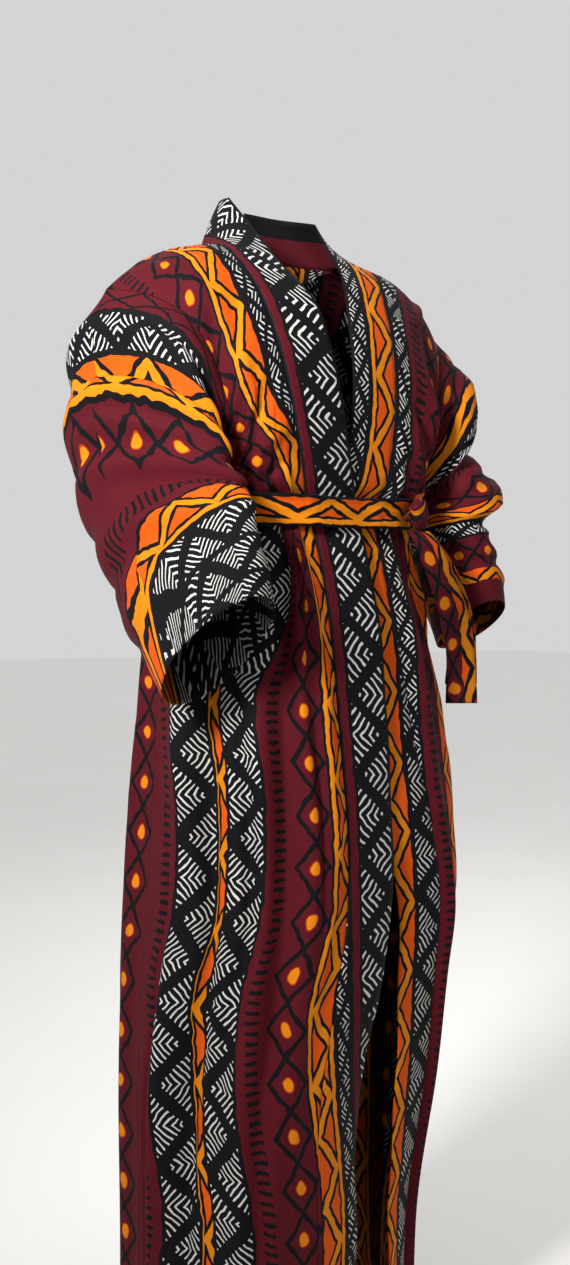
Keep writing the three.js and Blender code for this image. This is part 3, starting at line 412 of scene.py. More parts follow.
LEFT_SLEEVE_CREASES = tuple(Crease(*row) for row in (
    (0.9, 0.4, 0.16, 0.3, -4), (1.5, 0.25, 0.18, 0.3, 4), (2.1, 0.5, 0.14, 0.3, -4.5),
    (2.6, 0.2, 0.14, 0.3, 4.5), (3.3, 0.5, 0.13, 0.3, 4.5), (3.55, 0.2, 0.13, 0.3, -5),
    (4.3, 0.45, 0.14, 0.3, 4.5), (4.6, 0.1, 0.14, 0.3, -4.5), (5.2, 0.35, 0.15, 0.3, 4),
    (5.6, 0.0, 0.16, 0.3, -4), (6.2, 0.4, 0.18, 0.3, -4), (6.7, 0.1, 0.2, 0.3, 3.5),
    (1.7, -0.4, 0.25, 0.3, -4), (2.7, -0.5, 0.22, 0.35, 4), (3.7, -0.6, 0.2, 0.35, -4),
    (4.7, -0.5, 0.22, 0.35, 4), (5.5, -0.7, 0.22, 0.3, -4), (0.6, 0.85, 0.2, 0.25, -4),
))

# Bands of the print, from the first edge of a piece outwards: motif and width. Where only a
# slice of a band shows, its full width and the shift of its middle follow.
RIGHT_FRONT_BANDS = (
    ("small_arrows", 27), ("zigzag", 46), ("diamonds", 52), ("dashes", 42), ("arrows", 58),
    ("zigzag", 15, 46, -8), ("arrows", 58), ("dashes", 42),
)
LEFT_FRONT_BANDS = (
    ("small_arrows", 30), ("dashes", 38), ("diamonds", 52), ("zigzag", 46), ("arrows", 58),
    ("dashes", 42), ("diamonds", 52),
)
BACK_BANDS = (
    ("diamonds", 50), ("zigzag", 46), ("arrows", 58), ("dashes", 38), ("small_arrows", 28),
    ("zigzag", 40), ("plain", 14), ("arrows", 68), ("plain", 14), ("zigzag", 40),
    ("small_arrows", 28), ("dashes", 38), ("arrows", 58), ("zigzag", 46), ("diamonds", 70),
)
RIGHT_BAND_BANDS = (
    ("diamonds", 52), ("zigzag", 46), ("small_arrows", 27), ("black", 4), ("plain", 11),
    ("big_arrows", 60),
)
LEFT_BAND_BANDS = (("arrows", 60), ("zigzag", 46), ("small_arrows", 29))
RIGHT_SLEEVE_BANDS = (
    ("diamonds", 20), ("arrows", 42), ("zigzag", 46), ("diamonds", 52), ("plain", 14),
    ("dashes", 36), ("zigzag", 46), ("arrows", 60), ("arrows", 64), ("arrows", 60),
)
LEFT_SLEEVE_BANDS = (
    ("diamonds", 40), ("zigzag", 26), ("small_arrows", 30), ("dashes", 34), ("diamonds", 34),
    ("zigzag", 40), ("arrows", 36), ("diamonds", 52), ("zigzag", 18, 40, 6), ("plain", 70),
)
SASH_BANDS = (("zigzag", 38),)
TAIL_BANDS = (("diamonds", 23, 34, -1), ("zigzag", 15, 34, 5))
LEFT_BAND_TURNED = (("plain", 104), ("black", 40))
KNOT_BANDS = (
    ("plain", 36), ("black", 3), ("zigzag", 8, 34, 3), ("plain", 30),
)
MOTIFS = (
    "plain", "black", "arrows", "small_arrows", "big_arrows", "zigzag", "diamonds", "dashes",
)


# What differs between the two halves. A drift says how far the print lies past a seam, and the
# heights where that starts and is full. The slant of a sleeve's print is the cloth hidden at the
# front of its bend, the slant at the back, and the length from the armhole where both start.
Half = namedtuple("Half", (
    "name", "side", "stations", "armhole", "folds", "creases", "tucks", "drift", "band_start",
    "band_drift", "sleeve", "sleeve_folds", "sleeve_creases", "slant",
))
RIGHT_HALF = Half(
    "right", RIGHT, RIGHT_FRONT, RIGHT_ARMHOLE, RIGHT_FRONT_FOLDS, RIGHT_FRONT_CREASES,
    RIGHT_FRONT_TUCKS, drift=(80, -800, -1230), band_start=125, band_drift=(-80, -800, -1230),
    sleeve=RIGHT_SLEEVE, sleeve_folds=RIGHT_SLEEVE_FOLDS, sleeve_creases=RIGHT_SLEEVE_CREASES,
    slant=(42, 165, 150),
)
LEFT_HALF = Half(
    "left", LEFT, LEFT_FRONT, LEFT_ARMHOLE, LEFT_FRONT_FOLDS, LEFT_FRONT_CREASES,
    LEFT_FRONT_TUCKS, drift=(30, -450, -800), band_start=60, band_drift=(-46, -430, -900),
    sleeve=LEFT_SLEEVE, sleeve_folds=LEFT_SLEEVE_FOLDS, sleeve_creases=LEFT_SLEEVE_CREASES,
    slant=(10, 40, 150),
)


def along(points, places):
    """Smooth curve through a list of points, at places counted in points."""
    points = np.asarray(points, float)
    places = np.atleast_1d(np.asarray(places, float))
    last = len(points) - 1
    start = np.clip(np.floor(places).astype(int), 0, last - 1)
    t = (places - start).reshape((-1,) + (1,) * (points.ndim - 1))
    before = points[np.maximum(start - 1, 0)]
    origin = points[start]
    target = points[start + 1]
    after = points[np.minimum(start + 2, last)]
    slope_in = (target - before) / 2
    slope_out = (after - origin) / 2
    return (
        origin * (2 * t**3 - 3 * t**2 + 1)
        + slope_in * (t**3 - 2 * t**2 + t)
        + target * (3 * t**2 - 2 * t**3)
        + slope_out * (t**3 - t**2)
    )


def unit(vectors):
    """Vectors at length one, along the last axis."""
    length = np.linalg.norm(vectors, axis=-1, keepdims=True)
    return vectors / np.maximum(length, 1e-9)


def smooth(value):
    """Eased step from 0 to 1."""
    value = np.clip(value, 0, 1)
    return value * value * (3 - 2 * value)


@lru_cache(maxsize=None)
def row_places():
    """Places of the panels' rows in stations, close enough for the small folds."""
    places = []
    for index in range(len(SIDES) - 1):
        drop = SIDES[index].z - SIDES[index + 1].z
        steps = max(round(drop / ROW_STEP), 6)
        places.extend(index + step / steps for step in range(steps))
    return np.array(places + [len(SIDES) - 1.0])


def top_rows():
    """Index of the row at the underarm."""
    return int(np.searchsorted(row_places(), TOP_STATIONS))


def arm_places(stations, places):
    """Places on the armhole, in its points, for rows at places."""
    arms = [[station.arm] for station in stations[: TOP_STATIONS + 1]]
    return np.clip(along(arms, np.minimum(places, TOP_STATIONS))[:, 0], 0, ARMHOLE_LAST)


def outer_edge(places, half, face):
    """Outer edge of a panel: the armhole, then the side seam from the underarm down."""
    armhole = half.armhole[face]
    seam = [armhole[ARMHOLE_LAST]]
    seam += [(getattr(side, half.name), side.y, side.z) for side in SIDES[TOP_STATIONS + 1 :]]
    upper = along(armhole, arm_places(half.stations, places))
    lower = along(seam, np.maximum(places - TOP_STATIONS, 0))
    return np.where((places <= TOP_STATIONS)[:, None], upper, lower)


def swell_at(stations, places):
    """Bulge of each row, gone below the waist."""
    swells = [station.swell for station in stations[: TOP_STATIONS + 1]]
    swells += [(0, 0, 0), (0, 0, 0)]
    curve = along(swells, np.minimum(places, TOP_STATIONS + 2))
    return np.where((places < TOP_STATIONS + 2)[:, None], curve, 0)


def rows_between(inner, outer, swell, places, share):
    """Rows between two edges, bent like a quarter of an oval lower down."""
    roundness = np.clip((places - 1) / (TOP_STATIONS - 1), 0, 1)[:, None]
    quarter = share * math.pi / 2
    across = share + (np.sin(quarter) - share) * roundness
    deep = share + (1 - np.cos(quarter) - share) * roundness
    parts = np.stack([across, deep, share + 0 * roundness], axis=-1)
    grid = inner[:, None, :] + (outer - inner)[:, None, :] * parts
    return grid + swell[:, None, :] * (4 * share * (1 - share))[None, :, None]


def grid_normals(grid, loop=False):
    """Unit normals of a grid of points."""
    if loop:
        across = np.roll(grid, -1, axis=1) - np.roll(grid, 1, axis=1)
    else:
        across = np.gradient(grid, axis=1)
    return unit(np.cross(across, np.gradient(grid, axis=0)))


def outwards(grid, normals):
    """Normals turned away from the upright middle axis of the robe."""
    facing = normals[..., 0] * grid[..., 0] + normals[..., 1] * grid[..., 1]
    return np.where(facing[..., None] < 0, -normals, normals)


def pushed(grid, depth):
    """The grid moved outwards by a depth at each point."""
    return grid + outwards(grid, grid_normals(grid)) * depth[..., None]


def cut_map(across, down):
    """Places on the flat cut, from the distances across and down it."""
    return np.stack(np.broadcast_arrays(across, down), axis=-1)


def long_folds(folds, share, z):
    """Depth of the long hanging folds over a panel."""
    top = z[0, 0]
    bottom = z[-1, 0]
    hem_share = (top - z) / (top - bottom)
    depth = np.zeros_like(z)
    for fold in folds:
        middle = fold.at + fold.drift * hem_share
        off = (share[None, :] - middle) / fold.width
        run_in = np.minimum((fold.top - z) / FOLD_RUN_IN, (z - fold.bottom) / FOLD_RUN_IN)
        depth += fold.depth * np.exp(-off * off) * np.clip(run_in, 0, 1)
    return depth


def creases(table, across, z, strength):
    """Depth of the creases in a table: each runs from one place to another on the panel.

    across and z are millimetres over the panel, and a crease is sharper in its middle.
    """
    depth = np.zeros_like(z)
    for start_x, start_z, end_x, end_z, width, deep in table:
        run_x = end_x - start_x
        run_z = end_z - start_z
        length = math.hypot(run_x, run_z)
        step = ((across - start_x) * run_x + (z - start_z) * run_z) / length**2
        held = np.clip(step, 0, 1)
        off = np.hypot(across - start_x - held * run_x, z - start_z - held * run_z)
        swing = np.sin(held * 7 + start_x * 0.05) * width * 0.25
        shape = np.exp(-(((off + swing * (held > 0)) / width) ** 2))
        fade = np.sin(math.pi * np.clip(held * 0.94 + 0.03, 0, 1)) ** 0.6
        depth += deep * shape * fade
    return depth * strength


def edge_fade(columns, reach):
    """Weights that fade to nothing at both side edges of a panel."""
    place = np.arange(columns)
    nearest = np.minimum(place, columns - 1 - place)
    return smooth(nearest / reach)


def row_lengths(grid):
    """Length along each row from its first point."""
    steps = np.linalg.norm(np.diff(grid, axis=1), axis=-1)
    return np.concatenate([np.zeros((len(grid), 1)), np.cumsum(steps, axis=1)], axis=1)


def column_lengths(grid):
    """Mean length down the grid from its first row."""
    steps = np.linalg.norm(np.diff(grid, axis=0), axis=-1).mean(axis=1)
    return np.concatenate([[0], np.cumsum(steps)])


def tucked(lengths, z, tucks):
    """Lengths along the flat cloth: the lengths seen and the cloth hidden in the tucks."""
    flat = abs(lengths)
    for place, breadth, hidden, start, full, last, end in tucks:
        coming = smooth((z - start) / (full - start))
        going = smooth((z - end) / (last - end))
        flat = flat + hidden * smooth((flat - place) / breadth + 0.5) * coming * going
    return flat * np.where(lengths < 0, -1, 1)


def drifted(z, drift):
    """How far the print lies past the seam at each height."""
    amount, start, full = drift
    return amount * smooth((z - start) / (full - start))


def mirrored(grid, side):
    """Grid with x counted to the robe's right or left."""
    return grid * np.array([side, 1, 1])


def front_panel(half, strength):
    """Grid and flat-cloth places of one front, from its neckband seam to its outer edge."""
    places = row_places()
    share = np.linspace(0, 1, FRONT_COLUMNS + 1)
    inner = along([station.seam for station in half.stations], places)
    outer = outer_edge(places, half, "front")
    grid = rows_between(inner, outer, swell_at(half.stations, places), places, share)
    z = grid[..., 2]
    depth = long_folds(half.folds, share, z) + (
        creases(half.creases, row_lengths(grid), z, strength)
        + belt_gathers(share * half.side, z, strength))
    grid = pushed(grid, depth * edge_fade(len(share), 3)[None, :])
    across = tucked(row_lengths(grid), z, half.tucks) + drifted(z[:, :1], half.drift)
    return mirrored(grid, half.side), cut_map(across, column_lengths(grid)[:, None])


def neck_curve(side_point, nape, share):
    """Quarter of an oval from the nape round to the side of the neck."""
    quarter = np.asarray(share) * math.pi / 2
    side_point = np.asarray(side_point, float)
    points = np.empty((len(quarter), 3))
    points[:, 0] = side_point[0] * np.sin(quarter)
    for axis in (1, 2):
        points[:, axis] = side_point[axis] + (nape[axis] - side_point[axis]) * np.cos(quarter)
    return points


def half_back(half, shoulder_row):
    """One half of the back, from its middle to its outer edge, unfolded."""
    places = row_places()
    neck_share = np.arange(NECK_COLUMNS) / NECK_COLUMNS
    edge = np.concatenate([neck_curve(shoulder_row[0], NAPE, neck_share), shoulder_row])
    inner = along([(0, side.back_y, side.z) for side in SIDES], places)
    outer = outer_edge(places, half, "back")
    share = np.linspace(0, 1, len(edge))
    grid = rows_between(inner, outer, swell_at(SIDES, places), places, share)
    fade = np.maximum(1 - places / 2, 0) ** 2
    moved = grid + (edge - grid[0])[None] * fade[:, None, None]
    moved[:, -1] = outer
    moved[0] = edge
    return moved


def back_panel(right_shoulder, left_shoulder, strength):
    """Grid and flat-cloth places of the back, from the right edge to the left one."""
    right = half_back(RIGHT_HALF, right_shoulder)
    left = half_back(LEFT_HALF, left_shoulder)
    grid = np.concatenate([mirrored(right[:, :0:-1], RIGHT), left], axis=1)
    half = (grid.shape[1] - 1) // 2
    lengths = row_lengths(grid)
    share = (np.arange(grid.shape[1]) - half) / half
    z = grid[..., 2]
    depth = long_folds(BACK_FOLDS, share, z)
    depth += creases(BACK_CREASES, lengths - lengths[:, half : half + 1], z, strength)
    depth += belt_gathers(share * 1.7 + 3, z, strength)
    depth *= edge_fade(len(share), 3)[None, :] * smooth(row_places() / 0.7)[:, None]
    grid = pushed(grid, depth)
    lengths = row_lengths(grid)
    across = tucked(lengths - lengths[:, half : half + 1], z, BACK_TUCKS) + BACK_HALF_FLAT
    return grid, cut_map(across, column_lengths(grid)[:, None])


def belt_gathers(share, z, strength):
    """Small uneven gathers where the sash draws the cloth in, fading above and below it."""
    depth = np.zeros_like(z)
    for place, width, deep, above, below in GATHERS:
        off = (share - place) / width
        rise = np.exp(-np.maximum(z - BELT_MIDDLE_Z, 0) / above)
        fall = np.exp(-np.maximum(BELT_MIDDLE_Z - z, 0) / below)
        depth += deep * np.exp(-off * off)[None, :] * rise * fall
    return depth * strength


def neckband(half, panel):
    """Band from the hem up the front edge and round the neck to the nape."""
    shoulder = half.stations[0]
    share = np.arange(NECK_COLUMNS - 1, -1, -1) / NECK_COLUMNS
    edges = along([station.edge for station in half.stations], row_places())
    edges = np.concatenate([edges[::-1], neck_curve(shoulder.edge, COLLAR_NAPE, share)])
    top_seam = mirrored(neck_curve(shoulder.seam, NAPE, share), half.side)
    seams = np.concatenate([panel[::-1, 0], top_seam])[:, None, :]
    across = np.linspace(0, 1, BAND_COLUMNS + 1)[None, :, None]
    grid = seams + (mirrored(edges, half.side)[:, None, :] - seams) * across
    flat = across[..., 0] * BAND_FLAT + half.band_start + drifted(grid[:, :1, 2], half.band_drift)
    return grid, cut_map(flat, column_lengths(grid)[:, None])


def band_relief(grid, side):
    """Lets a neckband roll a little across its width and waver down its free edge."""
    across = np.linspace(0, 1, grid.shape[1])[None, :]
    run = column_lengths(grid)[:, None]
    roll = 2.2 * np.sin(math.pi * across)
    waver = across**2 * (1.8 * np.sin(run / 61 + side) + 1.2 * np.sin(run / 23 + 2 * side))
    return pushed(grid, roll + waver)


def ring_points(ring, angles):
    """Oval ring of a sleeve; its front and back may lie off the middle of its sides."""
    outer, inner, front, back = (np.asarray(part, float) for part in ring[1:])
    middle = (outer + inner) / 2
    other_middle = (front + back) / 2
    sine = np.sin(angles)[:, None]
    turned = middle + (outer - middle) * np.cos(angles)[:, None]
    return turned + (front - other_middle) * sine + (other_middle - middle) * sine**2


def sleeve(half, seam_ring, strength):
    """Grid and flat-cloth places of a sleeve, rings from the armhole to the cuff."""
    rows = top_rows()
    row_angles = arm_places(half.stations, row_places()[: rows + 1]) * math.pi / ARMHOLE_LAST
    angles = np.concatenate([row_angles, -row_angles[rows - 1 : 0 : -1]])
    stack = [mirrored(seam_ring, half.side)]
    stack += [ring_points(ring, angles) for ring in half.sleeve]
    places = np.arange(len(half.sleeve) * SLEEVE_STEPS + 1) / SLEEVE_STEPS
    grid = along(np.stack(stack), places)
    run = column_lengths(grid)[:, None]
    step, shear, start = half.slant
    sine = np.sin(angles - SLANT_TURN)[None, :]
    across = run + step * np.clip(1.3 * sine, 0, 1) * smooth((run - start) / 30)
    across += shear * np.minimum(sine, 0) * np.clip((run - start) / (run[-1] - start), 0, 1)
    girth = np.linalg.norm(np.roll(grid, -1, axis=1) - grid, axis=-1).mean(axis=0)
    around = np.concatenate([[0], np.cumsum(girth)[:-1]])[None, :]
    turns = angles / math.pi
    depth = np.zeros(grid.shape[:2])
    for table, scale in ((half.sleeve_folds, 1), (half.sleeve_creases, strength)):
        for crease in table:
            off = (places - crease.along) / crease.length
            turn = np.abs(turns - crease.around)
            round_off = np.minimum(turn, 2 - turn) / crease.breadth
            shape = np.exp(-(off**2)[:, None] - (round_off**2)[None, :])
            depth += crease.depth * scale * shape
    depth *= smooth(places / 0.5)[:, None]
    middle = grid.mean(axis=1, keepdims=True)
    moved = grid + unit(grid - middle) * depth[..., None]
    return mirrored(moved, half.side), cut_map(across, around)


def near_sash(grids):
    """The rows of each grid that lie at the height of the sash."""
    return [grid[np.abs(grid[..., 2] - BELT_MIDDLE_Z).min(axis=1) < 2 * BELT_HEIGHT]
            for grid in grids]


def outline_at(grids, z):
    """Angles and distances from the upright axis where the grids cross one height."""
    angles = []
    radii = []
    for grid in grids:
        upper = grid[:-1]
        lower = grid[1:]
        drop = upper[..., 2] - lower[..., 2]
        share = (upper[..., 2] - z) / np.where(np.abs(drop) < 1e-6, 1e-6, drop)
        hit = (share >= 0) & (share < 1)
        point = upper[hit] + (lower[hit] - upper[hit]) * share[hit][:, None]
        angles.append(np.arctan2(point[:, 1], point[:, 0]))
        radii.append(np.hypot(point[:, 0], point[:, 1]))
    return np.concatenate(angles), np.concatenate(radii)


def belt_piece(grids):
    """The sash round the waist, resting on the crests of the gathers under it."""
    close = near_sash(grids)
    turns = np.arange(BELT_COLUMNS) * 2 * math.pi / BELT_COLUMNS - math.pi
    sag = BELT_SAG * np.maximum(np.cos(turns - BELT_SAG_TURN), 0)
    shares = np.linspace(0.5, -0.5, BELT_ROWS)
    radii = np.empty((BELT_ROWS, BELT_COLUMNS))
    heights = BELT_MIDDLE_Z + shares[:, None] * BELT_HEIGHT - sag[None, :]
    for index in range(BELT_ROWS):
        for column, turn in enumerate(turns):
            angles, distances = outline_at(close, heights[index, column])
            near = np.cos(angles - turn) > BELT_WINDOW
            radii[index, column] = distances[near].max() + BELT_GAP
    eased = sum(np.roll(radii, step, axis=1) for step in range(-3, 4)) / 7
    radii = np.maximum(eased, radii - BELT_DIP)
    ridges = 1.2 * np.sin(shares[:, None] * 15 + 0.8 * np.sin(turns * 3)[None, :])
    radii = radii + ridges * np.cos(shares * math.pi * 0.9)[:, None]
    grid = np.stack([radii * np.cos(turns), radii * np.sin(turns), heights], axis=-1)
    return grid, cut_map((0.5 - shares)[:, None] * BELT_HEIGHT, turns[None, :] * radii.mean())


def tail_piece(stations, foot):
    """One hanging end of the sash, from the foot of the knot down."""
    rows = [(*station.middle, *station.across, station.bow) for station in stations]
    places = np.arange((len(stations) - 1) * TAIL_STEPS + 1) / TAIL_STEPS
    values = along(rows, places)
    share = np.linspace(-1, 1, TAIL_COLUMNS + 1)[None, :]
    middle = values[:, None, 0:3] + foot
    grid = middle + values[:, None, 3:6] * share[..., None]
    run = column_lengths(grid)[:, None]
    curl = 1.1 * np.sin(run / 17) * share**3
    gather = 1.6 * np.exp(-run / 22) * np.cos(share * 9)
    grid[..., 1] -= values[:, 6:7] * (1 - share**2) + curl + gather
    return grid, cut_map((share + 1) * BELT_HEIGHT / 2, run)


def knot_seat(belt):
    """Where the knot sits on the sash: its middle and the way straight out from there."""
    column = round(KNOT_TURN * BELT_COLUMNS)
    points = belt[:, column]
    middle = points[len(points) // 2]
    chord = belt[len(points) // 2, column + 3] - belt[len(points) // 2, column - 3]
    outward = unit(np.array([chord[1], -chord[0], 0]))
    lift = np.minimum(np.abs(points[:, 2] - middle[2]) / KNOT_HALF[2], 1)
    depth = KNOT_HALF[1] * np.sqrt(1 - lift**2)
    stand_off = ((points - middle) @ outward + depth).max() + KNOT_CLEAR
    return middle + outward * stand_off, outward


def sewn_normals(pieces):
    """Outward normals of the sewn pieces, averaged where their seam points meet."""
    for piece in pieces:
        normals = grid_normals(piece.grid, piece.loop)
        facing = ((piece.grid - piece.inside) * normals).sum()
        piece.flipped = facing < 0
        piece.normals = -normals if piece.flipped else normals
    points = np.concatenate([piece.grid.reshape(-1, 3) for piece in pieces])
    normals = np.concatenate([piece.normals.reshape(-1, 3) for piece in pieces])
    keys = np.round(points * 100 + 0.217).astype(np.int64)
    shared = np.unique(keys, axis=0, return_inverse=True)[1].ravel()
    sums = np.zeros((shared.max() + 1, 3))
    np.add.at(sums, shared, normals)
    averaged = unit(sums)[shared]
    start = 0
    for piece in pieces:
        count = piece.grid.shape[0] * piece.grid.shape[1]
        piece.normals = averaged[start : start + count].reshape(piece.grid.shape)
        start += count


class Cloth:
    """One cut piece of cloth: its grid of points, and the same places on the flat cut."""

    def __init__(self, node, grid, flat, inside, loop=False):
        self.node = node
        self.grid = grid
        self.flat = flat
        self.inside = inside
        self.loop = loop
        self.normals = None
        self.flipped = False

    def drawn_back(self):
        """The grid with its edges drawn back a little, which leaves the seams open."""
        grid = self.grid
        moved = grid.copy()
        moved[0] += unit(grid[1] - grid[0]) * SEAM_PULL
        moved[-1] += unit(grid[-2] - grid[-1]) * SEAM_PULL
        if not self.loop:
            moved[:, 0] += unit(grid[:, 1] - grid[:, 0]) * SEAM_PULL
            moved[:, -1] += unit(grid[:, -2] - grid[:, -1]) * SEAM_PULL
        return moved


def body_inside(grid):
    """Points on the upright middle axis of the robe, level with the grid."""
    inside = np.zeros_like(grid)
    inside[..., 2] = np.minimum(grid[..., 2], CHEST_Z)
    return inside


def neck_inside(grid):
    """Points low inside the neck, from which a standing collar faces outwards."""
    inside = np.zeros_like(grid)
    inside[..., 2] = np.minimum(grid[..., 2] - COLLAR_DROP, CHEST_Z / 2)
    return inside


@lru_cache(maxsize=None)
def robe_cloths(strength):
    """Every piece of cloth of the robe and its sash, by the name of its node."""
    halves = (RIGHT_HALF, LEFT_HALF)
    fronts = [front_panel(half, strength) for half in halves]
    shoulders = [mirrored(grid[0], half.side) for half, (grid, _) in zip(halves, fronts)]
    back, back_flat = back_panel(*shoulders, strength)
    rows = top_rows()
    cloths = [Cloth("front_" + half.name, grid, flat, body_inside(grid))
              for half, (grid, flat) in zip(halves, fronts)]
    cloths.append(Cloth("back", back, back_flat, body_inside(back)))
    for half, (panel, _) in zip(halves, fronts):
        grid, flat = neckband(half, panel)
        relief = band_relief(grid, half.side)
        cloths.append(Cloth("neckband_" + half.name, relief, flat, neck_inside(grid)))
    body = [cloth.grid for cloth in cloths]
    for half, (panel, _), column in zip(halves, fronts, (0, -1)):
        seam = np.concatenate([panel[: rows + 1, -1], back[rows - 1 : 0 : -1, column]])
        grid, flat = sleeve(half, seam, strength)
        middle = np.broadcast_to(grid.mean(axis=1, keepdims=True), grid.shape)
        cloths.append(Cloth("sleeve_" + half.name, grid, flat, middle, loop=True))
    belt, belt_flat = belt_piece(body)
    seat, outward = knot_seat(belt)
    foot = seat - np.array([0, 0, KNOT_HALF[2] + KNOT_CLEAR / 4])
    sash = [Cloth("belt", belt, belt_flat, belt * np.array([0, 0, 1]), loop=True)]
    for name, stations in (("belt_tail_front", FRONT_TAIL), ("belt_tail_back", BACK_TAIL)):
        grid, flat = tail_piece(stations, foot)
        sash.append(Cloth(name, grid, flat, grid * np.array([1, 0, 1])))
    sewn_normals(cloths)
    for cloth in sash:
        sewn_normals([cloth])
    return {cloth.node: cloth for cloth in cloths + sash}, seat, outward


def shell_faces(rows, columns, loop):
    """Corners of the faces of a grid, and its open edges, as rows and columns."""
    spans = columns if loop else columns - 1
    row, column = np.meshgrid(np.arange(rows - 1), np.arange(spans), indexing="ij")
    row = row.ravel()
    column = column.ravel()
    quads = np.stack([
        np.stack([row, column], axis=-1), np.stack([row, column + 1], axis=-1),
        np.stack([row + 1, column + 1], axis=-1), np.stack([row + 1, column], axis=-1),
    ], axis=1)
    edges = []
    for place in range(spans):
        edges.append(((0, place), (0, place + 1)))
        edges.append(((rows - 1, place + 1), (rows - 1, place)))
    if not loop:
        for place in range(rows - 1):
            edges.append(((place + 1, 0), (place, 0)))
            edges.append(((place, columns - 1), (place + 1, columns - 1)))
    return quads, np.array(edges)


def cloth_object(cloth, thickness, materials):
    """Mesh object of one piece of cloth: an outer face, an inner face and the edges."""
    rows, columns = cloth.grid.shape[:2]
    base = cloth.drawn_back()
    outer = base + cloth.normals * thickness / 2
    inner = base - cloth.normals * thickness / 2
    points = np.concatenate([outer.reshape(-1, 3), inner.reshape(-1, 3)])
    flat = cloth.flat
    if cloth.loop:
        wrap = flat[:, :1].copy()
        wrap[..., 1] += 2 * flat[:, -1:, 1] - flat[:, -2:-1, 1] - flat[:, :1, 1]
        flat = np.concatenate([flat, wrap], axis=1)
    quads, edges = shell_faces(rows, columns, cloth.loop)
    if cloth.flipped:
        quads = quads[:, ::-1]
        edges = edges[:, ::-1]
    layer = rows * columns

    def index(corners):
        """Number of the point at a row and a column."""
        return corners[..., 0] * columns + corners[..., 1] % columns

    start, end = edges[:, 0], edges[:, 1]
    rims = np.stack([index(end), index(start), index(start) + layer, index(end) + layer], axis=1)
    rim_corners = np.stack([end, start, start, end], axis=1)
    faces = np.concatenate([index(quads), index(quads[:, ::-1]) + layer, rims])
    corners = np.concatenate([quads, quads[:, ::-1], rim_corners])
    places = flat[corners[..., 0], corners[..., 1]]
    piece = cut_mesh(cloth.node + "_cloth", points, faces.tolist(), places, materials)
    count = len(quads)
    slots = np.zeros(len(faces), dtype=np.int32)
    slots[count : 2 * count] = len(materials) - 1
    piece.data.polygons.foreach_set("material_index", slots)
    piece.data.polygons.foreach_set("use_smooth", np.arange(len(faces)) < 2 * count)
    piece.data.update()
    return piece


def cut_mesh(name, points, faces, places, materials):
    """Mesh object of cloth, all smooth, with its places on the flat cut as a UV map."""
    mesh = bpy.data.meshes.new(name)
    mesh.from_pydata((points * MM).tolist(), [], faces)
    layer = mesh.uv_layers.new(name=CUT_MAP)
    layer.data.foreach_set("uv", (places * MM).astype(np.float32).ravel())
    for material in materials:
        mesh.materials.append(material)
    mesh.polygons.foreach_set("use_smooth", np.ones(len(faces), dtype=bool))
    mesh.update()
    return linked(name, mesh)


def linked(name, mesh):
    """New object for a mesh, in the scene's collection."""
    piece = bpy.data.objects.new(name, mesh)
    bpy.context.scene.collection.objects.link(piece)
    return piece


def linear(code):
    """Linear colour of an sRGB hex code."""
    channels = [int(code[place : place + 2], 16) / 255 for place in (0, 2, 4)]
    return tuple(
        value / 12.92 if value <= 0.04045 else ((value + 0.055) / 1.055) ** 2.4
        for value in channels
    )


def darker(colour, share=1):
    """Four-part colour at a share of its brightness."""
    return tuple(value * share for value in colour[:3]) + (1,)


def node(tree, kind, inputs=None, **settings):
    """Adds a node with its settings, and sets or links its inputs by name or place."""
    made = tree.nodes.new(kind)
    for name, value in settings.items():
        setattr(made, name, value)
    for key, value in (inputs or {}).items():
        value = getattr(value, "socket", value)
        if isinstance(value, bpy.types.NodeSocket):
            tree.links.new(value, made.inputs[key])
        else:
            made.inputs[key].default_value = value
    return made


class Value:
    """Number worked out in a node tree: arithmetic on it adds math nodes."""

    def __init__(self, tree, socket):
        self.tree = tree
        self.socket = socket

    def math(self, operation, *others):
        """Result of a math node over this value and others."""
        made = node(self.tree, "ShaderNodeMath", dict(enumerate((self, *others))),
                    operation=operation)
        return Value(self.tree, made.outputs[0])


def math_method(operation):
    """Method of a value that adds one kind of math node."""
    return lambda value, *others: value.math(operation, *others)


for method, kind_of_math in (
    ("__add__", "ADD"), ("__sub__", "SUBTRACT"), ("__mul__", "MULTIPLY"),
    ("__truediv__", "DIVIDE"), ("__lt__", "LESS_THAN"), ("__gt__", "GREATER_THAN"),
    ("__or__", "MAXIMUM"), ("__abs__", "ABSOLUTE"), ("scaled", "MULTIPLY_ADD"),
    ("pingpong", "PINGPONG"),
):
    setattr(Value, method, math_method(kind_of_math))


def mixed(tree, factor, first, second):
    """Colour between two colours."""
    inputs = {0: factor, 6: first, 7: second}
    return node(tree, "ShaderNodeMix", inputs, data_type="RGBA").outputs[2]


def noise(tree, place, scale, detail, flat=True, **more):
    """Noise texture over a place, flat on the cut cloth or in space."""
    inputs = {"Vector": place, "Scale": scale, "Detail": detail, **more}
    return node(tree, "ShaderNodeTexNoise", inputs, noise_dimensions="2D" if flat else "3D")


def band_values(across, bands):
    """Middle, half width and motif number of the band of the print at a place."""
    rows = []
    edge = 0
    for motif, width, *slice_of in bands:
        full, shift = slice_of or (width, 0)
        rows.append((edge, (edge + width / 2 + shift, full / 2, MOTIFS.index(motif))))
        edge += width
    if len(rows) == 1:
        return [across.scaled(0.0, value) for value in rows[0][1]]
    values = rows[0][1]
    for (_, before), (start, row) in zip(rows, rows[1:]):
        past = across > start
        values = [past.scaled(new - old, value) for new, old, value in zip(row, before, values)]
    return values


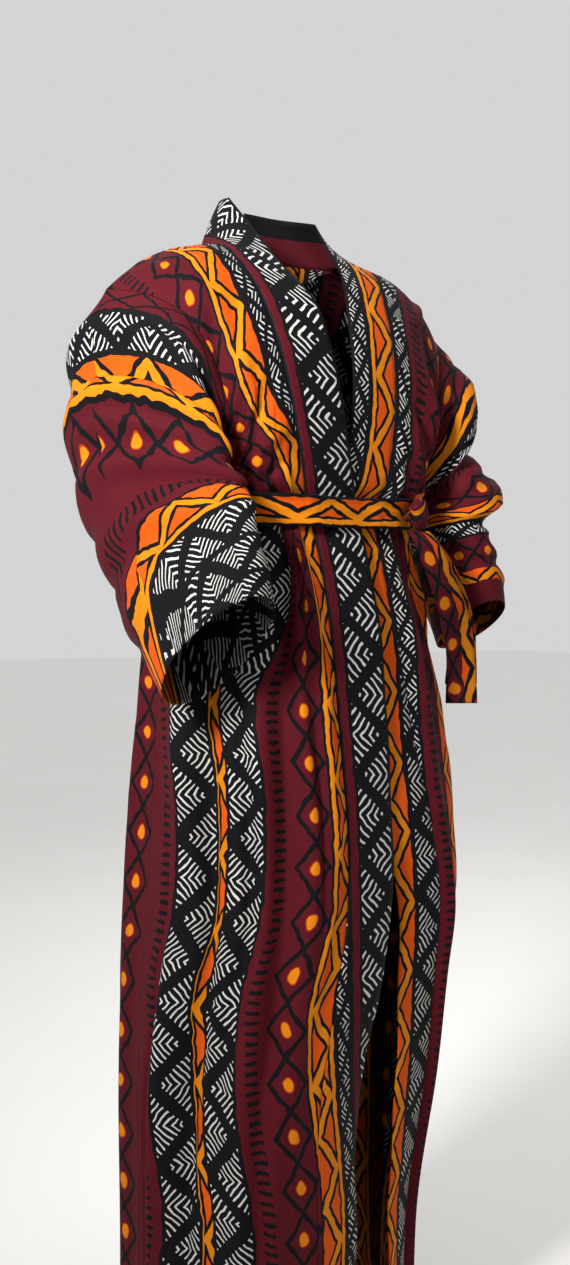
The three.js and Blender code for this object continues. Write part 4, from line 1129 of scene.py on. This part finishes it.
def arrow_mask(x, y, half, small, big):
    """White strokes of the arrow bands: triangles of chevrons, pointing to and fro."""
    reach = half - ARROW_MARGIN
    turn = small.scaled(-28.0, ARROW_PERIOD) * 0.5
    down = y.pingpong(turn)
    gap = (x + reach) / (reach * 2.0) * turn - down
    back_slant = (turn - down) * 0.95 - x
    place = (gap > 0.0).scaled(down.scaled(0.95, x) - back_slant, back_slant)
    pitch = big.scaled(2.8, small.scaled(-1.4, ARROW_PITCH))
    drawn = (place + 200.0).pingpong(pitch * 0.5) > pitch * 0.35
    clear = abs(gap) > small.scaled(-3.4, ARROW_CLEAR)
    return drawn * clear * (abs(x) < reach)


def zigzag_masks(x, y, half):
    """Yellow line and base line of the zigzag bands, and their black outlines."""
    swing = y.pingpong(ZIGZAG_HALF_PERIOD).scaled(2 / ZIGZAG_HALF_PERIOD, -1.0)
    middle = swing * half.scaled(0.62, -1.0) - 2.5
    off = abs(x - middle) * 0.87
    edge = half - x
    rim = half - abs(x) < ZIGZAG_RIM
    base = (edge < ZIGZAG_BASE) * (edge > ZIGZAG_RIM)
    yellow = ((off < ZIGZAG_LINE) | base) * rim.scaled(-1.0, 1.0)
    return yellow, (off < ZIGZAG_OUTLINE) | rim | (edge < ZIGZAG_BASE_RIM)


def diamond_masks(x, y, half):
    """Black chain of diamonds, and the round dots inside them with their rims."""
    down = y.pingpong(DIAMOND_HALF_PERIOD)
    side = abs(x)
    share = down.scaled(1 / DIAMOND_HALF_PERIOD, side / (half * 0.9))
    chain = abs(share - 1.0) < 0.15
    low = down * 0.75
    span = (side * side + low * low).math("SQRT")
    inside = half > 15.0
    return chain, (span < DOT) * inside, (span < DOT_RIM) * inside


def print_colour(tree, colours, bands, shift, shade):
    """Colour of the wax print at a place on the flat cloth."""
    place = node(tree, "ShaderNodeUVMap", uv_map=CUT_MAP).outputs["UV"]
    hand = noise(tree, place, 55.0, 1.0)
    split = node(tree, "ShaderNodeSeparateColor", {"Color": hand.outputs["Color"]})
    axes = node(tree, "ShaderNodeSeparateXYZ", {"Vector": place})
    across, down = (
        Value(tree, axes.outputs[part]).scaled(
            1000.0, Value(tree, split.outputs[part]).scaled(swing, start))
        for part, swing, start in ((0, 5.0, -2.5), (1, 6.0, -3.0 + shift))
    )
    middle, half, motif = band_values(across, bands)
    x = across - middle
    is_motif = {name: motif.math("COMPARE", float(number), 0.5)
                for number, name in enumerate(MOTIFS)}
    small, big = is_motif["small_arrows"], is_motif["big_arrows"]
    zigzag, diamonds = is_motif["zigzag"], is_motif["diamonds"]
    arrows = is_motif["arrows"] | small | big
    yellow, outline = zigzag_masks(x, down, half)
    chain, dot, dot_rim = diamond_masks(x, down, half)
    dash = (abs(x) < DASH_HALF_WIDTH) * (down.pingpong(DASH_HALF_PERIOD) < DASH_HALF_LENGTH)
    black = (is_motif["black"] | arrows | zigzag * outline | diamonds * chain
             | is_motif["dashes"] * dash)
    # A shade below one darkens every dye of this copy of the print as painted shade; one leaves the
    # print as it is.
    dyes = {name: darker(colour, shade * DYE_DEPTH) for name, colour in colours.items()}
    colour = dyes["maroon"]
    for mask, name in (
        (zigzag, "orange"), (black, "black"), (diamonds * dot_rim, "rust"),
        (zigzag * yellow | diamonds * dot, "yellow"),
        (arrows * arrow_mask(x, down, half, small, big), "white"),
    ):
        colour = mixed(tree, mask, colour, dyes[name])
    return colour, axes, place


def new_material(name):
    """New material and its node tree, emptied."""
    material = bpy.data.materials.new(name)
    material.use_nodes = True
    material.node_tree.nodes.clear()
    return material, material.node_tree


def add_shader(tree, inputs):
    """Adds the shader and the output of a material."""
    shader = node(tree, "ShaderNodeBsdfPrincipled", inputs)
    node(tree, "ShaderNodeOutputMaterial", {"Surface": shader.outputs["BSDF"]})


def print_material(name, colours, bands, shift=0.0, shade=1.0):
    """Wax-printed plain-weave cotton: matt, lightly napped, with the threads just showing."""
    material, tree = new_material(name)
    colour, axes, place = print_colour(tree, colours, bands, shift, shade)
    dye = noise(tree, place, 14.0, 4.0, Roughness=0.62)
    fine = Value(tree, noise(tree, place, 900.0, 1.0).outputs["Fac"])
    pucker = noise(tree, place, 46.0, 3.0, Distortion=0.5)
    level = fine.scaled(0.16, Value(tree, dye.outputs["Fac"]).scaled(0.34, 0.75))
    shaded = node(tree, "ShaderNodeHueSaturation", {"Color": colour, "Value": level})
    warp, weft = ((Value(tree, axes.outputs[part]) * (2 * math.pi / THREAD)).math("SINE")
                  for part in (0, 1))
    height = (warp + weft).scaled(0.02, pucker.outputs["Fac"])
    bump = node(tree, "ShaderNodeBump", {"Height": height, "Strength": 0.55, "Distance": 0.0022})
    add_shader(tree, {
        "Base Color": shaded.outputs["Color"],
        "Roughness": fine.scaled(0.14, 0.66),
        "Normal": bump.outputs["Normal"],
        "Sheen Weight": 0.012,
        "Sheen Roughness": 0.45,
        "Specular IOR Level": 0.08,
    })
    # The viewport colour carries the same painted shade.
    material.diffuse_color = darker(colours["maroon"], shade)
    return material


def thread_material(name, colour):
    """Black polyester sewing thread with a faint twist."""
    material, tree = new_material(name)
    place = node(tree, "ShaderNodeTexCoord").outputs["Object"]
    twist = noise(tree, place, 1600.0, 2.0, flat=False).outputs["Fac"]
    level = Value(tree, twist).scaled(0.5, 0.75)
    shaded = node(tree, "ShaderNodeHueSaturation", {"Color": darker(colour), "Value": level})
    bump = node(tree, "ShaderNodeBump", {"Height": twist, "Strength": 0.4, "Distance": 0.0001})
    add_shader(tree, {
        "Base Color": shaded.outputs["Color"],
        "Normal": bump.outputs["Normal"],
        "Roughness": 0.42,
        "Specular IOR Level": 0.4,
    })
    return material


def floor_material():
    """Pale matt studio board with a trace of unevenness."""
    material, tree = new_material("studio_board")
    place = node(tree, "ShaderNodeTexCoord").outputs["Object"]
    cloud = noise(tree, place, 2.0, 3.0, flat=False).outputs["Fac"]
    add_shader(tree, {
        "Base Color": mixed(tree, cloud, darker(linear("F4F3F0")), darker(linear("FBFAF8"))),
        "Roughness": 0.9,
        "Specular IOR Level": 0.1,
    })
    return material


def stitch_tree(thread):
    """Geometry nodes that set one stitch after another along the edges of a mesh."""
    tree = bpy.data.node_groups.new("stitch_row", "GeometryNodeTree")
    face = tree.interface
    face.new_socket("Geometry", in_out="INPUT", socket_type="NodeSocketGeometry")
    for name, (_, default) in STITCH_INPUTS.items():
        socket = face.new_socket(name, in_out="INPUT", socket_type="NodeSocketFloat")
        socket.default_value = default
        socket.subtype = "DISTANCE"
    seed = face.new_socket("Seed", in_out="INPUT", socket_type="NodeSocketInt")
    seed.default_value = 7
    face.new_socket("Geometry", in_out="OUTPUT", socket_type="NodeSocketGeometry")
    given = node(tree, "NodeGroupInput").outputs
    curve = node(tree, "GeometryNodeMeshToCurve", {"Mesh": given["Geometry"]})
    spaced = node(tree, "GeometryNodeResampleCurve", {"Curve": curve.outputs["Curve"]},
                  mode="LENGTH")
    tree.links.new(given["Pitch"], spaced.inputs["Length"])
    bead = node(tree, "GeometryNodeMeshUVSphere", {"Segments": 6, "Rings": 4, "Radius": 0.5})
    tangent = node(tree, "GeometryNodeInputTangent")
    turned = node(tree, "FunctionNodeAlignRotationToVector",
                  {"Vector": tangent.outputs["Tangent"]}, axis="Z")
    uneven = node(tree, "FunctionNodeRandomValue", {2: 0.88, 3: 1.08, "Seed": given["Seed"]},
                  data_type="FLOAT")
    size = node(tree, "ShaderNodeCombineXYZ", {
        "X": given["Thickness"], "Y": given["Thickness"],
        "Z": Value(tree, given["Length"]) * uneven.outputs[1],
    })
    placed = node(tree, "GeometryNodeInstanceOnPoints", {
        "Points": spaced.outputs["Curve"], "Instance": bead.outputs["Mesh"],
        "Rotation": turned.outputs["Rotation"], "Scale": size.outputs["Vector"],
    })
    real = node(tree, "GeometryNodeRealizeInstances", {"Geometry": placed.outputs["Instances"]})
    dressed = node(tree, "GeometryNodeSetMaterial",
                   {"Geometry": real.outputs["Geometry"], "Material": thread})
    node(tree, "NodeGroupOutput", {"Geometry": dressed.outputs["Geometry"]})
    return tree


def stitched(name, line, closed, settings, thread):
    """Mesh object of the stitches along a line of points, in millimetres."""
    count = len(line)
    edges = [(place, (place + 1) % count) for place in range(count if closed else count - 1)]
    source = bpy.data.meshes.new(name + "_lines")
    source.from_pydata((line * MM).tolist(), edges, [])
    carrier = linked(name + "_lines", source)
    tree = stitch_tree(thread)
    modifier = carrier.modifiers.new("stitches", "NODES")
    modifier.node_group = tree
    for item in tree.interface.items_tree:
        if item.in_out == "INPUT" and item.name in STITCH_INPUTS:
            modifier[item.identifier] = getattr(settings, STITCH_INPUTS[item.name][0])
    bpy.context.view_layer.update()
    evaluated = carrier.evaluated_get(bpy.context.evaluated_depsgraph_get())
    mesh = bpy.data.meshes.new_from_object(evaluated)
    mesh.name = name
    bpy.data.objects.remove(carrier)
    bpy.data.meshes.remove(source)
    bpy.data.node_groups.remove(tree)
    mesh.polygons.foreach_set("use_smooth", np.ones(len(mesh.polygons), dtype=bool))
    piece = linked(name, mesh)
    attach(piece, "root")
    return piece


def raised(cloth, row, column, lift):
    """Points of the outer face at one row or one column of a cloth, a little proud."""
    return (cloth.grid + cloth.normals * lift)[row, column]


def hem_line(cloth, lift):
    """Line of the stitches along the hem of a panel."""
    return raised(cloth, -HEM_ROWS, slice(3, -3), lift + HEM_PROUD)


def cuff_line(cloth, lift):
    """Line of the stitches round a cuff."""
    return raised(cloth, -HEM_ROWS, slice(None), lift + HEM_PROUD)


def seam_line(cloth, lift):
    """Line of the stitches that runs down a neckband beside its first column."""
    first, second = (raised(cloth, slice(None), place, lift + BAND_PROUD) for place in (0, 1))
    return first + (second - first) * 0.3


def make_cloth(cloths, name, thickness, materials, held, rests_on):
    """Makes one piece of cloth, rides it on the root, works out the area of its flat cut and hides
    the solid of the same name.
    """
    cloth = cloths[name]
    piece = cloth_object(cloth, thickness / MM, materials)
    flat = cloth.flat * MM
    if cloth.loop:
        widths = 2 * flat[:, -1, 1] - flat[:, -2, 1] - flat[:, 0, 1]
        run = flat[:, 0, 0] if name == "belt" else column_lengths(cloth.grid) * MM
    else:
        widths = flat[:, -1, 0] - flat[:, 0, 0]
        run = flat[:, 0, 1]
    area = float(np.sum((widths[1:] + widths[:-1]) / 2 * np.diff(run)))
    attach(piece, "root")
    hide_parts(name)
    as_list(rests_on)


def knot_object(seat, outward, material):
    """The drawn-tight knot: one end wrapped over the other, with creases run into it."""
    columns = KNOT_COLUMNS
    sideways = np.array([outward[1], -outward[0], 0])
    polar = np.linspace(0.0, math.pi, KNOT_ROWS + 2)[1:-1, None]
    turn = (np.arange(columns) * 2 * math.pi / columns)[None, :]
    off = polar - 1.35 - 0.35 * np.cos(turn)
    groove = 1 - 0.2 * np.exp(-off * off / 0.03) - 0.1 * np.exp(-((off - 0.75) ** 2) / 0.02)
    folds = 1 + 0.035 * np.sin(4 * polar + 3 * np.cos(turn)) + 0.03 * np.sin(9 * off + turn)
    swell = groove * folds
    wide = KNOT_HALF[0] * np.sin(polar) * np.cos(turn) * swell
    deep = KNOT_HALF[1] * 0.96 * np.sin(polar) * np.sin(turn) * swell
    high = KNOT_HALF[2] * 0.97 * np.cos(polar) + 0 * turn
    body = seat + wide[..., None] * sideways + deep[..., None] * outward
    body[..., 2] += high
    tips = seat + np.array([[0, 0, KNOT_HALF[2] * 0.95], [0, 0, -KNOT_HALF[2] * 0.95]])
    points = np.concatenate([body.reshape(-1, 3), tips])
    faces = []
    top = KNOT_ROWS * columns
    last = top - columns
    for column in range(columns):
        beside = (column + 1) % columns
        faces.append((top, column, beside))
        faces.append((top + 1, last + beside, last + column))
        faces.extend((start + column, start + columns + column, start + columns + beside,
                      start + beside) for start in range(0, last, columns))
    across = (points - seat) @ sideways + 26
    flat = np.stack([across + 0.7 * (points[:, 2] - seat[2]), points[:, 2] * -1.3], axis=-1)
    places = flat[np.concatenate(faces)]
    return cut_mesh("belt_knot_cloth", points, faces, places, [material])


class RobeSizes(bpy.types.PropertyGroup):
    """Sizes that a user may change."""

    __annotations__ = {
        key: bpy.props.FloatProperty(name=name, description=text, default=size, **kind)
        for key, name, text, size, kind in SIZES
    }


class RobeColours(bpy.types.PropertyGroup):
    """Colours of the print and the thread."""

    __annotations__ = {
        key: bpy.props.FloatVectorProperty(
            name=name, description=text, default=linear(code), subtype="COLOR")
        for key, name, text, code in COLOURS
    }


def print_maker(context):
    """The settings, the cloths and a function that makes a material of their print."""
    scene = context.scene
    colours = {key: tuple(getattr(scene.robe_colours, key)) for key, *_ in COLOURS}

    def make_print(name, bands, shift, shade=1.0):
        """Material of the print in the colours that are set."""
        return print_material(name, colours, bands, shift, shade)

    sizes = scene.robe_sizes
    return sizes, robe_cloths(sizes.crease_strength), make_print


def add_sewn(context, kind, pieces, line, bulk=1, closed=False):
    """Makes sewn pieces of one kind, each with the stitches along one line.

    kind holds the name of the thread, the endings of two names and the painted shade of the inside,
    a share that darkens the print of the inner faces.
    """
    sizes, (cloths, _, _), make_print = print_maker(context)
    thread_name, ending, inside, shade = kind
    thread = thread_material(thread_name, context.scene.robe_colours.thread)
    for name, bands, inner_bands, shift, rests_on in pieces:
        prints = [make_print(name + "_print", bands, shift),
                  make_print(name + inside, inner_bands, shift, shade)]
        path = line(cloths[name], sizes.cloth_thickness / MM / 2)
        rows = stitched(name + ending, path, closed, sizes, thread)
        make_cloth(cloths, name, sizes.cloth_thickness * bulk, prints, "hung",
                   rests_on)


class ROBE_OT_panels(bpy.types.Operator):
    """Add the two fronts and the back"""

    bl_idname = "robe.add_panels"
    bl_label = "Fronts and back"

    def execute(self, context):
        # The inner faces get the same print darkened to 0.6, as painted shade.
        add_sewn(context, ("hem_thread", "_hem_stitches", "_reverse", 0.6), (
            ("front_right", RIGHT_FRONT_BANDS, RIGHT_FRONT_BANDS, 0.0, ["back"]),
            ("front_left", LEFT_FRONT_BANDS, LEFT_FRONT_BANDS, 31.0, ["back"]),
            ("back", BACK_BANDS, BACK_BANDS, 12.0, ["neckband_right", "neckband_left"]),
        ), hem_line)
        return {"FINISHED"}


class ROBE_OT_neckbands(bpy.types.Operator):
    """Add the two halves of the neckband"""

    bl_idname = "robe.add_neckbands"
    bl_label = "Neckbands"

    def execute(self, context):
        # The inner faces of the neckbands carry their print darkened to 0.75, as painted shade.
        add_sewn(context, ("band_thread", "_stitches", "_turned", 0.75), (
            ("neckband_right", RIGHT_BAND_BANDS, RIGHT_BAND_BANDS, 8.0, ["front_right", "back"]),
            ("neckband_left", LEFT_BAND_BANDS, LEFT_BAND_TURNED, 20.0, ["front_left", "back"]),
        ), seam_line, bulk=BAND_BULK)
        return {"FINISHED"}


class ROBE_OT_sleeves(bpy.types.Operator):
    """Add the two sleeves"""

    bl_idname = "robe.add_sleeves"
    bl_label = "Sleeves"

    def execute(self, context):
        # The inner faces get the same print darkened to 0.55, as painted shade.
        add_sewn(context, ("cuff_thread", "_cuff_stitches", "_reverse", 0.55), (
            ("sleeve_right", RIGHT_SLEEVE_BANDS, RIGHT_SLEEVE_BANDS, 4.0,
             ["front_right", "back"]),
            ("sleeve_left", LEFT_SLEEVE_BANDS, LEFT_SLEEVE_BANDS, 40.0, ["front_left", "back"]),
        ), cuff_line, closed=True)
        return {"FINISHED"}


class ROBE_OT_sash(bpy.types.Operator):
    """Add the sash, its knot and its two hanging ends"""

    bl_idname = "robe.add_sash"
    bl_label = "Sash"

    def execute(self, context):
        sizes, (cloths, seat, outward), make_print = print_maker(context)
        sash = make_print("sash_print", SASH_BANDS, 10.0)
        # The hanging ends take the print darkened to 0.62, as painted shade.
        ends = make_print("sash_end_print", TAIL_BANDS, 24.0, 0.62)
        for name, material, held, rests_on in (
            ("belt", sash, "folded", ["front_right", "front_left", "back"]),
            ("belt_tail_front", ends, "hung", ["belt_knot"]),
            ("belt_tail_back", ends, "hung", ["belt_knot"]),
        ):
            make_cloth(cloths, name, sizes.sash_thickness, [material, material],
                       held, rests_on)
        # The knot takes the print darkened to 0.85, as painted shade.
        knot = knot_object(seat, outward, make_print("knot_print", KNOT_BANDS, 0.0, 0.85))
        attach(knot, "root")
        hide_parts("belt_knot")
        return {"FINISHED"}


def aimed(name, data, place, way):
    """New object for a light or a camera, at a place and pointed along a way."""
    piece = linked(name, data)
    piece.location = place
    piece.rotation_mode = "QUATERNION"
    piece.rotation_quaternion = way.to_track_quat("-Z", "Y")
    return piece


class ROBE_OT_stage(bpy.types.Operator):
    """Add the pale floor, the soft studio light and the camera"""

    bl_idname = "robe.add_stage"
    bl_label = "Stage"

    def execute(self, context):
        scene = context.scene
        scene.view_settings.view_transform = "Standard"
        scene.view_settings.look = "None"
        floor_mesh = bpy.data.meshes.new("studio_floor")
        corners = [(FLOOR_SPAN * x, FLOOR_SPAN * y, FLOOR_Z)
                   for x, y in ((-1, -1), (1, -1), (1, 1), (-1, 1))]
        floor_mesh.from_pydata(corners, [], [(0, 1, 2, 3)])
        floor_mesh.materials.append(floor_material())
        floor = linked("studio_floor", floor_mesh)
        world = bpy.data.worlds.new("studio")
        world.use_nodes = True
        sky = world.node_tree.nodes["Background"]
        sky.inputs["Color"].default_value = (1.0, 1.0, 1.0, 1.0)
        sky.inputs["Strength"].default_value = WORLD_STRENGTH
        scene.world = world
        for name, place, target, size, power, spread in LIGHTS:
            lamp = bpy.data.lights.new(name, "AREA")
            lamp.shape = "DISK"
            lamp.size = size
            lamp.energy = power
            lamp.spread = math.radians(spread)
            aimed(name, lamp, place, Vector(target) - Vector(place))
        lens = bpy.data.cameras.new("photo_camera")
        lens.sensor_width = SENSOR
        lens.lens = SENSOR * FOCAL_PIXELS / IMAGE_HEIGHT
        lens.shift_y = (HORIZON_PIXEL - IMAGE_HEIGHT / 2) / IMAGE_HEIGHT
        turn = math.radians(CAMERA_AZIMUTH)
        back = Vector((math.sin(turn), -math.cos(turn), 0.0))
        place = Vector((0, 0, CAMERA_HEIGHT)) + back * CAMERA_DISTANCE
        scene.camera = aimed("photo_camera", lens, place, -back)
        return {"FINISHED"}


class ROBE_PT_sidebar(bpy.types.Panel):
    """Sidebar list of the robe's parts"""

    bl_idname = "ROBE_PT_sidebar"
    bl_label = "Kimono robe"
    bl_space_type = "VIEW_3D"
    bl_region_type = "UI"
    bl_category = "Robe"

    def draw(self, context):
        scene = context.scene
        for group, fields in ((scene.robe_sizes, SIZES), (scene.robe_colours, COLOURS)):
            for key, *_ in fields:
                self.layout.prop(group, key)
        for operator in OPERATORS:
            self.layout.operator(operator.bl_idname)


OPERATORS = (ROBE_OT_panels, ROBE_OT_neckbands, ROBE_OT_sleeves, ROBE_OT_sash, ROBE_OT_stage)
CLASSES = (RobeSizes, RobeColours, *OPERATORS, ROBE_PT_sidebar)


def register():
    """Registers the classes and the settings on the scene."""
    for cls in CLASSES:
        bpy.utils.register_class(cls)
    bpy.types.Scene.robe_sizes = bpy.props.PointerProperty(type=RobeSizes)
    bpy.types.Scene.robe_colours = bpy.props.PointerProperty(type=RobeColours)


def unregister():
    """Removes the settings and the classes."""
    del bpy.types.Scene.robe_colours
    del bpy.types.Scene.robe_sizes
    for cls in reversed(CLASSES):
        bpy.utils.unregister_class(cls)


def main():
    """Builds every piece and the stage."""
    register()
    bpy.ops.robe.add_panels()
    bpy.ops.robe.add_neckbands()
    bpy.ops.robe.add_sleeves()
    bpy.ops.robe.add_sash()
    bpy.ops.robe.add_stage()


if __name__ == "__main__":
    main()
